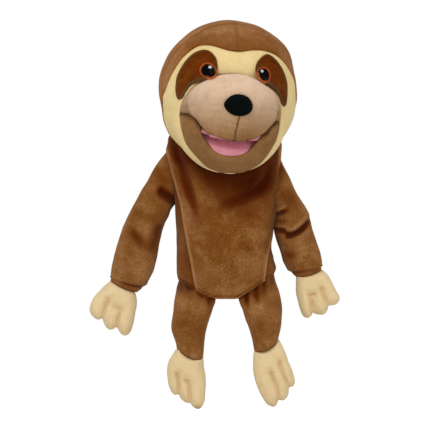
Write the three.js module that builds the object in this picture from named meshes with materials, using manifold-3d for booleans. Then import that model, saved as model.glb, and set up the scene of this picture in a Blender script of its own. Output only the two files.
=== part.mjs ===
// A sloth hand puppet with a moving mouth: plush skin panels over soft filling, a hinged pair of mouth
// boards with finger and thumb pockets, an open-bottomed body glove, and stuffed arms, legs, hands and feet.
// Millimetres. X runs to the viewer's right, Y to the back and Z up. The origin is the middle of the hand
// opening, level with the lowest point of the front hem. "Right" and "left" are the puppet's own.

import * as THREE from "three";
import { mergeVertices } from "three/addons/utils/BufferGeometryUtils.js";
import Module from "manifold-3d";

const wasm = await Module();
wasm.setup();

// Cloth, board and the gap between sewn pieces
const plush = 2.4; // plush skin, backing and pile
const liningThick = 1.2; // lining cloth
const boardThick = 2; // stiff card in the mouth
const gap = 0.4; // between pieces that touch
const stitchHeight = 0.9; // embroidery over the cloth under it

// Body glove
const shoulderHalfWidth = 51.5;
const hemHalfWidth = 47.5;
const neckHalfWidth = 50;
const neckHeight = 146; // neck seam at the sides
const chestDrop = 34; // how much lower the neck seam runs in front
const napeDrop = 8; // and at the back
const shoulderDrop = 34; // the widest part, below the neck seam
const hemRise = 20; // how much higher the hem is at the sides
const hemFlatHalf = 12; // half of the straight hem between the legs
const hemDepthFront = 37;
const hemDepthBack = 31;
const bellyHeight = 45;
const bellyDepth = 41;
const backDepth = 35;
const chestDepth = 25; // front of the neck seam
const bodySquareness = 2.7; // exponent of the flattened oval section
const frontSeamTop = 54; // half width of the front panel at the neck
const frontSeamHem = 37; // and at the hem
const hemBandHeight = 11;

// Head, in its own frame with the middle of the skull at the origin
const headX = 0.5;
const headY = -14;
const headOverNeck = 59; // middle of the skull above the neck seam
const headZ = neckHeight + headOverNeck;
const headTurn = 7.4; // degrees to the puppet's left
const headTilt = 4; // degrees towards its left shoulder
const skullHalfWidth = 69;
const skullHalfDepth = 62;
const skullHalfHeight = 73;
const jawHalfWidth = 57;
const jawHalfDepth = 50;
const jawHalfHeight = 54;
const jawForward = 32;
const jawBelow = 24;
const muzzleHalfWidth = 44;
const muzzleHalfDepth = 42;
const muzzleRise = 35;
const muzzleFall = 47;
const muzzleForward = 48;
const muzzleBelow = 8;
const crownSeamForward = 12; // the seam over the head from cheek to cheek
const neckCut = 54; // the head's open underside, below the middle of the skull
const neckTuck = 9; // how far the neck's cloth reaches up inside the head

// Mouth
const hingeForward = 22;
const hingeBelow = 17;
const roofSlope = 31; // degrees down towards the lips
const mouthGape = 15; // degrees between roof and tongue as it hangs
const cheekOut = 30; // the cheeks' stretchy cloth closes the mouth outside this half width
const lipCornerTop = 12; // top of the lip corners beside the muzzle, below the middle of the skull
const jawBackAngle = 92; // where the jaw's skin ends under the throat
const jawOpening = 24; // degrees that the jaw drops from where it hangs
const foldRadius = 3; // cloth fold round the hinge line
const foldHalfWidth = 50;
const lipHalfWidth = 50.5; // outline of the lower lip panel, seen from the front
const lipFall = 54;
const lipBack = 36; // the lower lip's cloth ends here under the chin

// Hollows for the hand
const shaftHalfWidth = 38;
const shaftFront = -14;
const shaftBack = 34;
const shaftTop = 8;
const fingerHalfWidth = 35;
const fingerHeight = 20;
const fingerReach = 46;
const thumbHalfWidth = 16;
const thumbHeight = 19;
const thumbReach = 34;
const knuckleRun = 30; // hollow over the fingers' roots, behind the hinge
const knuckleRoom = 3; // round the fingers where they bend
const pocketRoom = 2; // between the finger pocket and the filling round it

// Face
const browDip = 46;
const browPeak = 49;
const browPeakX = 26;
const maskHalfWidth = 65.5;
const eyeX = 26.5;
const eyeZ = 22;
const patchWidth = 36;
const patchHeight = 48.5;
const irisRadius = 8.4;
const pupilRadius = 6;
const glintRadius = 1.8;
const noseHalfWidth = 14;
const noseHalfHeight = 10.4;
const noseDepth = 7;
const noseBelow = 8;

// Arms
const armY = -2;
const armHalfWidth = 20;
const armHalfDepth = 16.5;
const cuffHalfWidth = 14.5;
const cuffHalfDepth = 12;
const armStart = { x: 36, z: 142 }; // the arm's centre line, inside the body
const rightElbow = { x: 84, z: 67 };
const rightCuff = { x: 103, z: 11 };
const leftElbow = { x: 67, z: 67 };
const leftCuff = { x: 81.5, z: 23 };
const rightHandSplay = 12; // degrees outwards
const leftHandSplay = 13;

// Legs
const hipOut = 32;
const hipY = -26;
const legHalfWidth = 20;
const legHalfDepth = 15;
const gatherHeight = 12; // unstuffed gathered cloth between the hem and the stuffed leg
const gatherDepth = 10;
const ankleHalfWidth = 13.5;
const ankleHalfDepth = 11.5;
const rightAnkle = { x: 37, z: -57 };
const leftAnkle = { x: 40, z: -51 };
const rightFootSplay = 4;
const leftFootSplay = 14;

// Hands and feet: three digits each, named from the inner one outwards
const hand = {
  palmHalfWidth: 20,
  palmHalfDepth: 10.5,
  palmHalfLength: 19,
  palmDown: 19,
  digitHalfWidth: 7.6,
  digitSpacing: 14.5,
  digitShift: 5,
  digitFan: 7,
  reach: [44, 43, 36],
};
const foot = {
  palmHalfWidth: 18,
  palmHalfDepth: 11,
  palmHalfLength: 21,
  palmDown: 25,
  digitHalfWidth: 7,
  digitSpacing: 11.8,
  digitShift: 1,
  digitFan: 3,
  reach: [53, 49, 41],
};

const degrees = Math.PI / 180;
const far = 200; // longer than any piece

// Closed geometry and booleans

function toSolid(geometry) {
  const bare = geometry.clone();
  bare.deleteAttribute("normal");
  bare.deleteAttribute("uv");
  const merged = mergeVertices(bare, 1e-3);
  return new wasm.Manifold(
    new wasm.Mesh({
      numProp: 3,
      vertProperties: merged.attributes.position.array,
      triVerts: new Uint32Array(merged.index.array),
    }),
  );
}

function toGeometry(solid) {
  const mesh = solid.getMesh();
  const xyz = new Float32Array(mesh.numVert * 3);
  for (let i = 0; i < mesh.numVert; i++) {
    const start = i * mesh.numProp;
    xyz.set(mesh.vertProperties.subarray(start, start + 3), i * 3);
  }
  const geometry = new THREE.BufferGeometry();
  geometry.setAttribute("position", new THREE.BufferAttribute(xyz, 3));
  geometry.setIndex(new THREE.BufferAttribute(mesh.triVerts, 1));
  geometry.computeVertexNormals();
  return geometry;
}

const shift = (x, y, z) => new THREE.Matrix4().makeTranslation(x, y, z);
const turnX = (angle) => new THREE.Matrix4().makeRotationX(angle * degrees);
const turnY = (angle) => new THREE.Matrix4().makeRotationY(angle * degrees);
const turnZ = (angle) => new THREE.Matrix4().makeRotationZ(angle * degrees);

function moved(geometry, ...matrices) {
  for (const matrix of matrices) geometry.applyMatrix4(matrix);
  return geometry;
}

const placed = (solid, ...matrices) => toSolid(moved(toGeometry(solid), ...matrices));

function biggest(solid) {
  return solid.decompose().sort((a, b) => b.volume() - a.volume())[0];
}

function block(x0, x1, y0, y1, z0, z1) {
  const box = new THREE.BoxGeometry(x1 - x0, y1 - y0, z1 - z0);
  return toSolid(moved(box, shift((x0 + x1) / 2, (y0 + y1) / 2, (z0 + z1) / 2)));
}

// A closed loft: rings of points, the same count in each, closed by a fan at both ends.
function loft(rings) {
  const count = rings[0].length;
  const xyz = [];
  const faces = [];
  for (const ring of rings) for (const p of ring) xyz.push(p.x, p.y, p.z);
  for (let r = 0; r + 1 < rings.length; r++) {
    for (let i = 0; i < count; i++) {
      const a = r * count + i;
      const b = r * count + ((i + 1) % count);
      faces.push(a, b, b + count, a, b + count, a + count);
    }
  }
  for (const r of [0, rings.length - 1]) {
    const middle = new THREE.Vector3();
    for (const p of rings[r]) middle.addScaledVector(p, 1 / count);
    const tip = xyz.length / 3;
    xyz.push(middle.x, middle.y, middle.z);
    for (let i = 0; i < count; i++) {
      const a = r * count + i;
      const b = r * count + ((i + 1) % count);
      if (r === 0) faces.push(tip, b, a);
      else faces.push(tip, a, b);
    }
  }
  const geometry = new THREE.BufferGeometry();
  geometry.setAttribute("position", new THREE.Float32BufferAttribute(xyz, 3));
  geometry.setIndex(faces);
  const solid = toSolid(geometry);
  return solid.volume() > 0 ? solid : toSolid(insideOut(geometry));
}

function insideOut(geometry) {
  const index = Array.from(geometry.index.array);
  for (let i = 0; i < index.length; i += 3) {
    const second = index[i + 1];
    index[i + 1] = index[i + 2];
    index[i + 2] = second;
  }
  geometry.setIndex(index);
  return geometry;
}

// An outline drawn as seen from the front, made into a block that runs from y0 back to y1.
function frontPrism(outline, y0, y1) {
  const options = { depth: y1 - y0, bevelEnabled: false, curveSegments: 10 };
  return toSolid(moved(new THREE.ExtrudeGeometry(outline, options), turnX(90), shift(0, y1, 0)));
}

// An outline of [y, z] points, made into a block across the width.
function sidePrism(points) {
  const outline = new THREE.Shape(points.map(([y, z]) => new THREE.Vector2(y, z)));
  const solid = new THREE.ExtrudeGeometry(outline, { depth: 2 * far, bevelEnabled: false });
  const across = new THREE.Matrix4().set(0, 0, 1, -far, 1, 0, 0, 0, 0, 1, 0, 0, 0, 0, 0, 1);
  return toSolid(moved(solid, across));
}

// A value that eases from one key to the next; keys are [place, value] pairs in order.
function eased(keys, place) {
  if (place <= keys[0][0]) return keys[0][1];
  for (let i = 1; i < keys.length; i++) {
    const [from, low] = keys[i - 1];
    const [to, high] = keys[i];
    if (place <= to) return low + (high - low) * THREE.MathUtils.smoothstep(place, from, to);
  }
  return keys[keys.length - 1][1];
}

function rounded(value, squareness) {
  return Math.sign(value) * Math.abs(value) ** (2 / squareness);
}

function circleSteps(count) {
  return Array.from({ length: count }, (_, i) => (i / count) * 2 * Math.PI);
}

// Head forms: three eggs that grow or shrink by an offset

function egg(halfX, halfY, up, down, y, z, across, around) {
  const geometry = new THREE.SphereGeometry(1, across, around);
  geometry.rotateX(Math.PI / 2);
  const p = geometry.attributes.position;
  for (let i = 0; i < p.count; i++) {
    const high = p.getZ(i);
    p.setXYZ(i, p.getX(i) * halfX, y + p.getY(i) * halfY, z + high * (high > 0 ? up : down));
  }
  return toSolid(geometry);
}

function skull(grow, across = 32, around = 18) {
  const high = skullHalfHeight + grow;
  return egg(skullHalfWidth + grow, skullHalfDepth + grow, high, high, 0, 0, across, around);
}

function jawEgg(grow, across = 26, around = 16) {
  const high = jawHalfHeight + grow;
  const wide = jawHalfWidth + grow;
  return egg(wide, jawHalfDepth + grow, high, high, -jawForward, -jawBelow, across, around);
}

function muzzleEgg(grow, across = 24, around = 14) {
  const wide = muzzleHalfWidth + grow;
  const deep = muzzleHalfDepth + grow;
  const up = muzzleRise + grow;
  const down = muzzleFall + grow;
  return egg(wide, deep, up, down, -muzzleForward, -muzzleBelow, across, around);
}

const headMass = (grow) => skull(grow).add(jawEgg(grow));
const headCore = (grow) => skull(grow, 20, 12).add(jawEgg(grow, 16, 10));
const faceCore = (grow) => headCore(grow).add(muzzleEgg(grow, 14, 10));

// A wedge round the mouth's hinge line, between two angles measured down from straight ahead.
function wedge(from, to) {
  const points = [[-hingeForward, -hingeBelow]];
  const steps = Math.ceil((to - from) / 25);
  for (let i = 0; i <= steps; i++) {
    const angle = (from + ((to - from) * i) / steps) * degrees;
    points.push([-hingeForward - far * Math.cos(angle), -hingeBelow - far * Math.sin(angle)]);
  }
  return sidePrism(points);
}

// A slab along a plane through the hinge line: s runs forward from the hinge and n up from the plane.
function mouthSlab(slope, s0, s1, n0, n1, halfWidth) {
  const box = new THREE.BoxGeometry(2 * halfWidth, s1 - s0, n1 - n0);
  const inPlane = shift(0, -(s0 + s1) / 2, (n0 + n1) / 2);
  return toSolid(moved(box, inPlane, turnX(slope), shift(0, -hingeForward, -hingeBelow)));
}

// A flat-bottomed glove finger along the same plane, open at the hinge end and narrower at the tip.
function pocketForm(slope, side, reach, halfWidth, height, floor, grow) {
  const taper = [
    [0, 1],
    [0.75, 0.93],
    [1, 0.55],
  ];
  const start = -grow * 4;
  const rings = [0, 0.35, 0.75, 0.92, 1].map((share) => {
    const scale = eased(taper, share);
    const s = THREE.MathUtils.lerp(foldRadius + 2 + start, reach + grow, share);
    const half = (height / 2) * scale + grow;
    return circleSteps(12).map((a) => {
      const x = (halfWidth * scale + grow) * rounded(Math.cos(a), 3);
      const n = side * (floor + height / 2 + half * rounded(Math.sin(a), 3));
      return new THREE.Vector3(x, -s, n);
    });
  });
  return placed(loft(rings), turnX(slope), shift(0, -hingeForward, -hingeBelow));
}

// Outlines of the face, seen from the front

function maskOutline(grow) {
  const half = [
    [browPeakX / 2, browDip + 1.3],
    [browPeakX, browPeak],
    [browPeakX + 12, browPeak - 3],
    [browPeakX + 24, browPeak - 12],
    [maskHalfWidth - 7.5, eyeZ],
    [maskHalfWidth - 1.5, 5],
    [maskHalfWidth, -12],
  ].map(([x, z]) => [x + grow, z + grow]);
  const right = half.map(([x, z]) => new THREE.Vector2(x, z));
  const left = half.map(([x, z]) => new THREE.Vector2(-x, z)).reverse();
  const top = new THREE.SplineCurve([...left, new THREE.Vector2(0, browDip + grow), ...right]);
  const points = top.getPoints(24);
  points.push(new THREE.Vector2(maskHalfWidth + grow, -far));
  points.push(new THREE.Vector2(-maskHalfWidth - grow, -far));
  return new THREE.Shape(points);
}

// A drop that slants down and out, in shares of its width and height from the middle of the eye.
function patchOutline(side) {
  const points = [
    [-0.22, 0.1],
    [-0.18, 0.24],
    [-0.06, 0.35],
    [0.11, 0.4],
    [0.29, 0.35],
    [0.47, 0.2],
    [0.64, -0.01],
    [0.74, -0.24],
    [0.78, -0.43],
    [0.67, -0.6],
    [0.4, -0.42],
    [0.19, -0.28],
    [-0.01, -0.2],
    [-0.17, -0.09],
  ].map(([x, z]) => new THREE.Vector2(side * (eyeX + x * patchWidth), eyeZ + z * patchHeight));
  return new THREE.Shape(new THREE.SplineCurve([...points, points[0]]).getPoints(24).slice(0, -1));
}

function ovalOutline(x, z, halfX, halfZ, steps = 16) {
  const shape = new THREE.Shape();
  shape.absellipse(x, z, halfX, halfZ, 0, 2 * Math.PI);
  return new THREE.Shape(shape.getPoints(steps).slice(0, -1));
}

// Skin panels of the head

const throatAngle = jawBackAngle + jawOpening + 1;
const headSkin = headMass(0).subtract(headCore(-plush));
const belowNeck = block(-far, far, -far, far, -far, -neckCut);
const upperSkin = headSkin.subtract(wedge(roofSlope, throatAngle)).subtract(belowNeck);
const maskBlock = frontPrism(maskOutline(0), -far, -crownSeamForward);
const maskRoom = frontPrism(maskOutline(gap), -far, -crownSeamForward + gap);
const aheadOfSeam = block(-far, far, -far, -crownSeamForward, -far, far);
const behindSeam = block(-far, far, -crownSeamForward + gap, far, -far, far);
const hoodFront = upperSkin.intersect(aheadOfSeam).subtract(maskRoom);

function lipBlock(grow) {
  const outline = ovalOutline(0, -jawBelow, lipHalfWidth + grow, lipFall + grow);
  return frontPrism(outline, -far, grow - lipBack);
}

const belowLipCorner = (grow) => block(-far, far, -far, far, -far, grow - lipCornerTop);

function makeFacePanel() {
  const corners = lipBlock(gap).intersect(belowLipCorner(gap));
  return biggest(upperSkin.intersect(maskBlock).subtract(muzzleEgg(gap)).subtract(corners));
}

function onSide(side, inset) {
  return side > 0 ? block(inset, far, -far, far, -far, far) : block(-far, -inset, -far, far, -far, far);
}

// Tan cloth beside the muzzle, over the corner of the mouth.
function makeLipCorner(side) {
  const corner = upperSkin.intersect(lipBlock(0)).intersect(belowLipCorner(0)).subtract(muzzleEgg(gap));
  return biggest(corner.intersect(onSide(side, cheekOut)));
}

// Stretchy cloth between the upper and the lower lip, outside the mouth's opening.
function makeCheek(side) {
  const sector = wedge(roofSlope + 0.5, roofSlope + mouthGape - 0.5);
  return biggest(headSkin.intersect(sector).intersect(onSide(side, cheekOut)));
}

function makeHood(side) {
  return biggest(hoodFront.intersect(onSide(side, gap / 2)));
}

function makeHeadBack() {
  return biggest(upperSkin.intersect(behindSeam));
}

function makeMuzzle() {
  const skin = muzzleEgg(0).subtract(muzzleEgg(-plush, 14, 10));
  return biggest(skin.subtract(headCore(-plush)).subtract(wedge(roofSlope, throatAngle)));
}

// Embroidered and appliqued pieces lie over the face in layers.
function makeStitched(outline, layer) {
  const low = gap + layer * (stitchHeight + gap);
  const sheet = headMass(low + stitchHeight).subtract(headMass(low));
  const front = frontPrism(outline, -far, -crownSeamForward);
  return biggest(sheet.intersect(front).subtract(muzzleEgg(gap)));
}

function makeIris(side) {
  const ring = makeStitched(ovalOutline(side * eyeX, eyeZ, irisRadius, irisRadius), 1);
  const inner = ovalOutline(side * eyeX, eyeZ, pupilRadius + gap, pupilRadius + gap);
  return ring.subtract(frontPrism(inner, -far, 0));
}

function makeNose() {
  const front = -muzzleForward - muzzleHalfDepth + 3;
  const ball = egg(noseHalfWidth, noseDepth, noseHalfHeight, noseHalfHeight, front, -noseBelow, 16, 10);
  return biggest(ball.subtract(muzzleEgg(gap)));
}

// Inside of the head and the two halves of the mouth

const stack = liningThick + gap + boardThick + gap; // lining and board, under the filling
const jawSlope = roofSlope + mouthGape;
const pocketFloor = stack + liningThick;

function fingerPocket(grow) {
  return pocketForm(roofSlope, 1, fingerReach, fingerHalfWidth, fingerHeight, pocketFloor, grow);
}

function thumbPocket(grow) {
  return pocketForm(jawSlope, -1, thumbReach, thumbHalfWidth, thumbHeight, pocketFloor, grow);
}

function makeHeadFilling() {
  const shaft = block(-shaftHalfWidth, shaftHalfWidth, shaftFront, shaftBack, -far, shaftTop);
  const roof = stack + fingerHeight + knuckleRoom;
  const front = foldRadius + knuckleRoom;
  const knuckles = mouthSlab(roofSlope, -knuckleRun, front, -far / 4, roof, fingerHalfWidth + knuckleRoom);
  const mouthSide = mouthSlab(roofSlope, -foldRadius - knuckleRoom, far, -far, stack, far);
  const behindHinge = block(-far, far, shaftFront, far, -far, far);
  const solid = faceCore(-plush - gap)
    .subtract(wedge(roofSlope, throatAngle))
    .subtract(mouthSide.subtract(behindHinge))
    .subtract(belowNeck)
    .subtract(shaft)
    .subtract(knuckles)
    .subtract(fingerPocket(liningThick + pocketRoom));
  return biggest(solid);
}

function makeJawFilling() {
  const solid = headCore(-plush - gap)
    .intersect(wedge(jawSlope, jawBackAngle))
    .subtract(mouthSlab(jawSlope, -far, far, -stack, far, far))
    .subtract(thumbPocket(liningThick + gap));
  return biggest(solid);
}

function makeSheet(slope, side, n0, n1, core) {
  const low = Math.min(side * n0, side * n1);
  const high = Math.max(side * n0, side * n1);
  const slab = mouthSlab(slope, foldRadius + gap, far, low, high, far);
  return biggest(slab.intersect(core));
}

function makePocket(pocket) {
  const open = mouthSlab(roofSlope, -far, foldRadius + knuckleRoom, -far, far, far);
  return biggest(pocket(liningThick).subtract(pocket(0)).subtract(open));
}

// Fold of lining cloth that joins roof and tongue along the hinge line.
function makeMouthFold() {
  const rod = new THREE.CylinderGeometry(foldRadius, foldRadius, 2 * foldHalfWidth, 16);
  return toSolid(moved(rod, turnZ(90), shift(0, -hingeForward, -hingeBelow)));
}

// Skin of the jaw and the throat

const jawSkin = headSkin.intersect(wedge(jawSlope, jawBackAngle));

function makeLowerLip() {
  return biggest(jawSkin.intersect(lipBlock(0)));
}

function makeChin() {
  return biggest(jawSkin.subtract(lipBlock(gap)));
}

function makeThroat() {
  const sector = wedge(jawBackAngle + 0.6, throatAngle - 0.6);
  const keep = block(-far, far, -far, far, -far, -hingeBelow - 15);
  return biggest(headSkin.intersect(sector).intersect(keep));
}

// Body glove

function bodyRing(z, grow, count) {
  const top = neckHeight;
  const wide = eased(
    [
      [0, hemHalfWidth],
      [top - shoulderDrop, shoulderHalfWidth],
      [top, neckHalfWidth],
    ],
    z,
  );
  const front = eased(
    [
      [0, hemDepthFront],
      [bellyHeight, bellyDepth],
      [top - chestDrop, chestDepth],
    ],
    z,
  );
  const back = eased(
    [
      [0, hemDepthBack],
      [bellyHeight, backDepth],
      [top, backDepth],
    ],
    z,
  );
  return circleSteps(count).map((a) => {
    const x = (wide + grow) * rounded(Math.cos(a), bodySquareness);
    const side = rounded(Math.sin(a), bodySquareness);
    return new THREE.Vector3(x, side * ((side < 0 ? front : back) + grow), z);
  });
}

function bodyForm(grow, count, over = 0) {
  const steps = 8;
  const rings = [];
  for (let i = 0; i <= steps; i++) {
    const ring = bodyRing(THREE.MathUtils.lerp(-6, neckHeight + 6, i / steps), grow, count);
    if (i === 0) ring.forEach((p) => (p.z -= over));
    if (i === steps) ring.forEach((p) => (p.z += over));
    rings.push(ring);
  }
  return loft(rings);
}

function hemHeight(x) {
  const out = Math.max(0, Math.abs(x) - hemFlatHalf);
  return (hemRise * out) / (hemHalfWidth - hemFlatHalf);
}

// Everything below the hem line, raised by an offset.
function belowHem(raise) {
  const xs = [-far / 2, -hemFlatHalf, hemFlatHalf, far / 2];
  const points = xs.map((x) => new THREE.Vector2(x, hemHeight(x) + raise));
  points.push(new THREE.Vector2(far / 2, -far), new THREE.Vector2(-far / 2, -far));
  return frontPrism(new THREE.Shape(points), -far, far);
}

// Everything above the neck seam, raised by an offset.
function aboveNeck(raise) {
  const front = neckHeight - chestDrop;
  const back = neckHeight - napeDrop;
  const seam = new THREE.SplineCurve([
    new THREE.Vector2(-chestDepth * 2.2, front - chestDrop / 4),
    new THREE.Vector2(-chestDepth, front),
    new THREE.Vector2(-chestDepth / 2, front + chestDrop * 0.55),
    new THREE.Vector2(2, neckHeight),
    new THREE.Vector2(backDepth, back),
    new THREE.Vector2(backDepth * 1.9, back - napeDrop),
  ]);
  const line = seam.getPoints(12).map((p) => [p.x, p.y + raise]);
  return sidePrism([...line, [far, neckHeight], [far, far * 2], [-far, far * 2], [-far, front]]);
}

function frontPanelBlock(grow) {
  const top = frontSeamTop + grow;
  const hem = frontSeamHem + grow;
  const outline = new THREE.Shape([
    new THREE.Vector2(-hem, -10),
    new THREE.Vector2(hem, -10),
    new THREE.Vector2(top, neckHeight),
    new THREE.Vector2(top, neckHeight + 20),
    new THREE.Vector2(-top, neckHeight + 20),
    new THREE.Vector2(-top, neckHeight),
  ]);
  return frontPrism(outline, -far, grow);
}

const bodyShell = bodyForm(0, 26)
  .subtract(bodyForm(-plush, 18, 4))
  .subtract(belowHem(0))
  .subtract(aboveNeck(0));

function makeBodyLining() {
  const outer = bodyForm(-plush - gap, 18);
  const inner = bodyForm(-plush - gap - liningThick, 18, 4);
  return biggest(outer.subtract(inner).subtract(belowHem(hemBandHeight + gap)).subtract(aboveNeck(0)));
}

function makeHemFacing() {
  const outer = bodyForm(-plush - gap, 18);
  const inner = bodyForm(-2 * plush - gap, 18, 4);
  const above = block(-far, far, -far, far, hemRise + hemBandHeight + 1, far);
  const band = outer.subtract(inner).subtract(belowHem(0)).subtract(above);
  return biggest(band.intersect(belowHem(hemBandHeight)));
}

// Neck sleeve between the glove and the head, cut to the head that sits on it.
function makeNeckSleeve() {
  const ring = (z, grow) => bodyRing(neckHeight, grow, 20).map((p) => new THREE.Vector3(p.x, p.y, z));
  const low = neckHeight - chestDrop * 1.3;
  const high = headZ - neckCut + neckTuck;
  const hollow = loft([ring(low - 4, -plush), ring(high + 4, -plush)]);
  const tube = loft([ring(low, 0), ring(high, 0)]).subtract(hollow);
  const head = placed(headMass(gap * 2), headMatrix);
  return biggest(tube.intersect(aboveNeck(gap)).subtract(head));
}

// Limbs: a sleeve along a centre line that lies in one plane facing the front

function limbForm(points, keys, grow, sides, before, after) {
  const line = new THREE.CatmullRomCurve3(points.map(([x, z]) => new THREE.Vector3(x, 0, z)));
  const steps = 8;
  const rings = [];
  for (let i = 0; i <= steps; i++) {
    const u = i / steps;
    const along = line.getTangentAt(u);
    const middle = line.getPointAt(u);
    if (i === 0) middle.addScaledVector(along, -before);
    if (i === steps) middle.addScaledVector(along, after);
    const across = new THREE.Vector3(along.z, 0, -along.x);
    const half = eased(keys.width, u) + grow;
    const deep = eased(keys.depth, u) + grow;
    rings.push(
      circleSteps(sides).map((a) => {
        const p = middle.clone().addScaledVector(across, half * Math.cos(a));
        p.y = deep * Math.sin(a);
        return p;
      }),
    );
  }
  return loft(rings);
}

const armPlane = shoulderHalfWidth + gap; // the arms' flat inner faces

function armParts(out, elbow, cuff) {
  const points = [armStart, elbow, cuff].map((p) => [out * p.x, p.z]);
  const keys = {
    width: [
      [0, armHalfWidth + 1],
      [0.45, armHalfWidth - 0.5],
      [0.85, armHalfWidth + 0.5],
      [1, cuffHalfWidth],
    ],
    depth: [
      [0, armHalfDepth],
      [0.85, armHalfDepth - 0.5],
      [1, cuffHalfDepth],
    ],
  };
  const outside = (offset) => onSide(out, armPlane + offset);
  const hollow = limbForm(points, keys, -plush, 12, 0, 3).intersect(outside(plush));
  const sleeve = limbForm(points, keys, 0, 16, 0, 0).intersect(outside(0)).subtract(hollow);
  const inside = limbForm(points, keys, -plush - gap, 12, 0, -cuffHalfDepth);
  return { sleeve: biggest(sleeve), filling: biggest(inside.intersect(outside(plush + gap))) };
}

// The rounded stub of a hand or foot that turns inside its cuff.
function wristBall(halfWidth, radius) {
  const ball = new THREE.SphereGeometry(1, 14, 6);
  ball.rotateZ(Math.PI / 2);
  ball.scale(halfWidth, radius, radius);
  return toSolid(ball);
}

function makePaw(out, form, halfWidth, radius) {
  let solid = wristBall(halfWidth - gap, radius - gap);
  const palm = new THREE.SphereGeometry(1, 14, 8);
  palm.scale(form.palmHalfWidth, form.palmHalfDepth, form.palmHalfLength);
  solid = solid.add(toSolid(moved(palm, shift((out * form.digitShift) / 2, 0, -form.palmDown))));
  form.reach.forEach((reach, i) => {
    const side = i - 1;
    const top = form.palmDown * 0.4;
    const length = reach - form.digitHalfWidth - top;
    const lean = Math.tan(form.digitFan * degrees);
    const digit = new THREE.CapsuleGeometry(form.digitHalfWidth, length, 2, 8);
    digit.rotateX(Math.PI / 2);
    digit.scale(1, 1.12, 1);
    const x = out * (form.digitShift + side * (form.digitSpacing - lean * length));
    const placing = [shift(0, 0, -length / 2), turnY(-out * side * form.digitFan), shift(x, 0, -top)];
    solid = solid.add(toSolid(moved(digit, ...placing)));
  });
  return solid;
}

function legParts(out, ankle) {
  const top = hemHeight(hipOut) - gatherHeight;
  const points = [
    [out * hipOut, top],
    [out * (hipOut + (ankle.x - hipOut) * 0.4), (top + ankle.z) / 2],
    [out * ankle.x, ankle.z],
  ];
  const keys = {
    width: [
      [0, legHalfWidth],
      [0.45, legHalfWidth - 2],
      [1, ankleHalfWidth],
    ],
    depth: [
      [0, legHalfDepth / 2],
      [0.3, legHalfDepth],
      [1, ankleHalfDepth],
    ],
  };
  const start = hemRise;
  const hollow = limbForm(points, keys, -plush, 12, start, 3);
  const leg = limbForm(points, keys, 0, 16, start, 0).subtract(hollow).intersect(belowHem(-gatherHeight));
  const inside = limbForm(points, keys, -plush - gap, 12, start, -ankleHalfDepth);
  return { leg: biggest(leg), filling: biggest(inside.intersect(belowHem(-gatherHeight - gap))) };
}

// Unstuffed cloth at the top of a leg, gathered under the sloping hem.
function makeGathers(out) {
  const ring = (height, deep) =>
    circleSteps(14).map((a) => {
      const x = out * hipOut + legHalfWidth * 0.96 * Math.cos(a);
      return new THREE.Vector3(x, deep * Math.sin(a), height(x));
    });
  const top = (x) => hemHeight(x) - 2 * gap;
  const bottom = (x) => hemHeight(x) - gatherHeight + gap;
  const middle = (x) => (top(x) + bottom(x)) / 2;
  const half = gatherDepth / 2;
  return loft([ring(top, half - 1), ring(middle, half), ring(bottom, legHalfDepth / 2)]);
}

// The scene graph

const colours = {
  plush: [0x7d4f2a, 0.95],
  cream: [0xeacf96, 0.95],
  lip: [0xbd9670, 0.95],
  jaw: [0x94663f, 0.95],
  patch: [0x6b3514, 0.9],
  iris: [0xd65f23, 0.6],
  pupil: [0x0b0b0d, 0.5],
  glint: [0xf4f4f2, 0.5],
  nose: [0x0c0b0d, 0.7],
  pink: [0xcb7491, 0.9],
  paw: [0xdfc48e, 0.95],
  filling: [0xf3f1ea, 1],
  board: [0x9c8a70, 0.9],
  lining: [0x4a2f1e, 0.95],
};

function add(group, name, solid, colour) {
  const [color, roughness] = colours[colour];
  const material = new THREE.MeshStandardMaterial({ color, roughness, metalness: 0 });
  const mesh = new THREE.Mesh(toGeometry(solid), material);
  mesh.name = name;
  group.add(mesh);
}

const headMatrix = new THREE.Matrix4().multiplyMatrices(
  shift(headX, headY, headZ),
  new THREE.Matrix4().multiplyMatrices(turnZ(headTurn), turnY(headTilt)),
);

const puppet = new THREE.Group();
const headGroup = new THREE.Group();
headGroup.position.set(headX, headY, headZ);
headGroup.rotation.set(0, headTilt * degrees, headTurn * degrees, "ZYX");
puppet.add(headGroup);

add(headGroup, "face_panel", makeFacePanel(), "cream");
add(headGroup, "hood_left", makeHood(1), "plush");
add(headGroup, "hood_right", makeHood(-1), "plush");
add(headGroup, "head_back", makeHeadBack(), "plush");
add(headGroup, "muzzle", makeMuzzle(), "lip");
add(headGroup, "nose", makeNose(), "nose");
const pupilAt = (side) => ovalOutline(side * eyeX, eyeZ, pupilRadius, pupilRadius);
for (const [name, side] of [["left", 1], ["right", -1]]) {
  add(headGroup, `lip_corner_${name}`, makeLipCorner(side), "jaw");
  add(headGroup, `cheek_${name}`, makeCheek(side), "jaw");
  add(headGroup, `eye_patch_${name}`, makeStitched(patchOutline(side), 0), "patch");
  add(headGroup, `iris_${name}`, makeIris(side), "iris");
  add(headGroup, `pupil_${name}`, makeStitched(pupilAt(side), 1), "pupil");
  const glint = ovalOutline(side * eyeX + 1.5, eyeZ + 3, glintRadius, glintRadius, 8);
  add(headGroup, `eye_glint_${name}`, makeStitched(glint, 2), "glint");
}
add(headGroup, "head_filling", makeHeadFilling(), "filling");
const roofCore = faceCore(-plush - gap);
add(headGroup, "roof_lining", makeSheet(roofSlope, 1, 0, liningThick, roofCore), "pink");
add(headGroup, "roof_board", makeSheet(roofSlope, 1, liningThick + gap, stack - gap, roofCore), "board");
add(headGroup, "finger_pocket", makePocket(fingerPocket), "lining");
add(headGroup, "mouth_fold", makeMouthFold(), "pink");
add(headGroup, "throat_gusset", makeThroat(), "cream");

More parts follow.
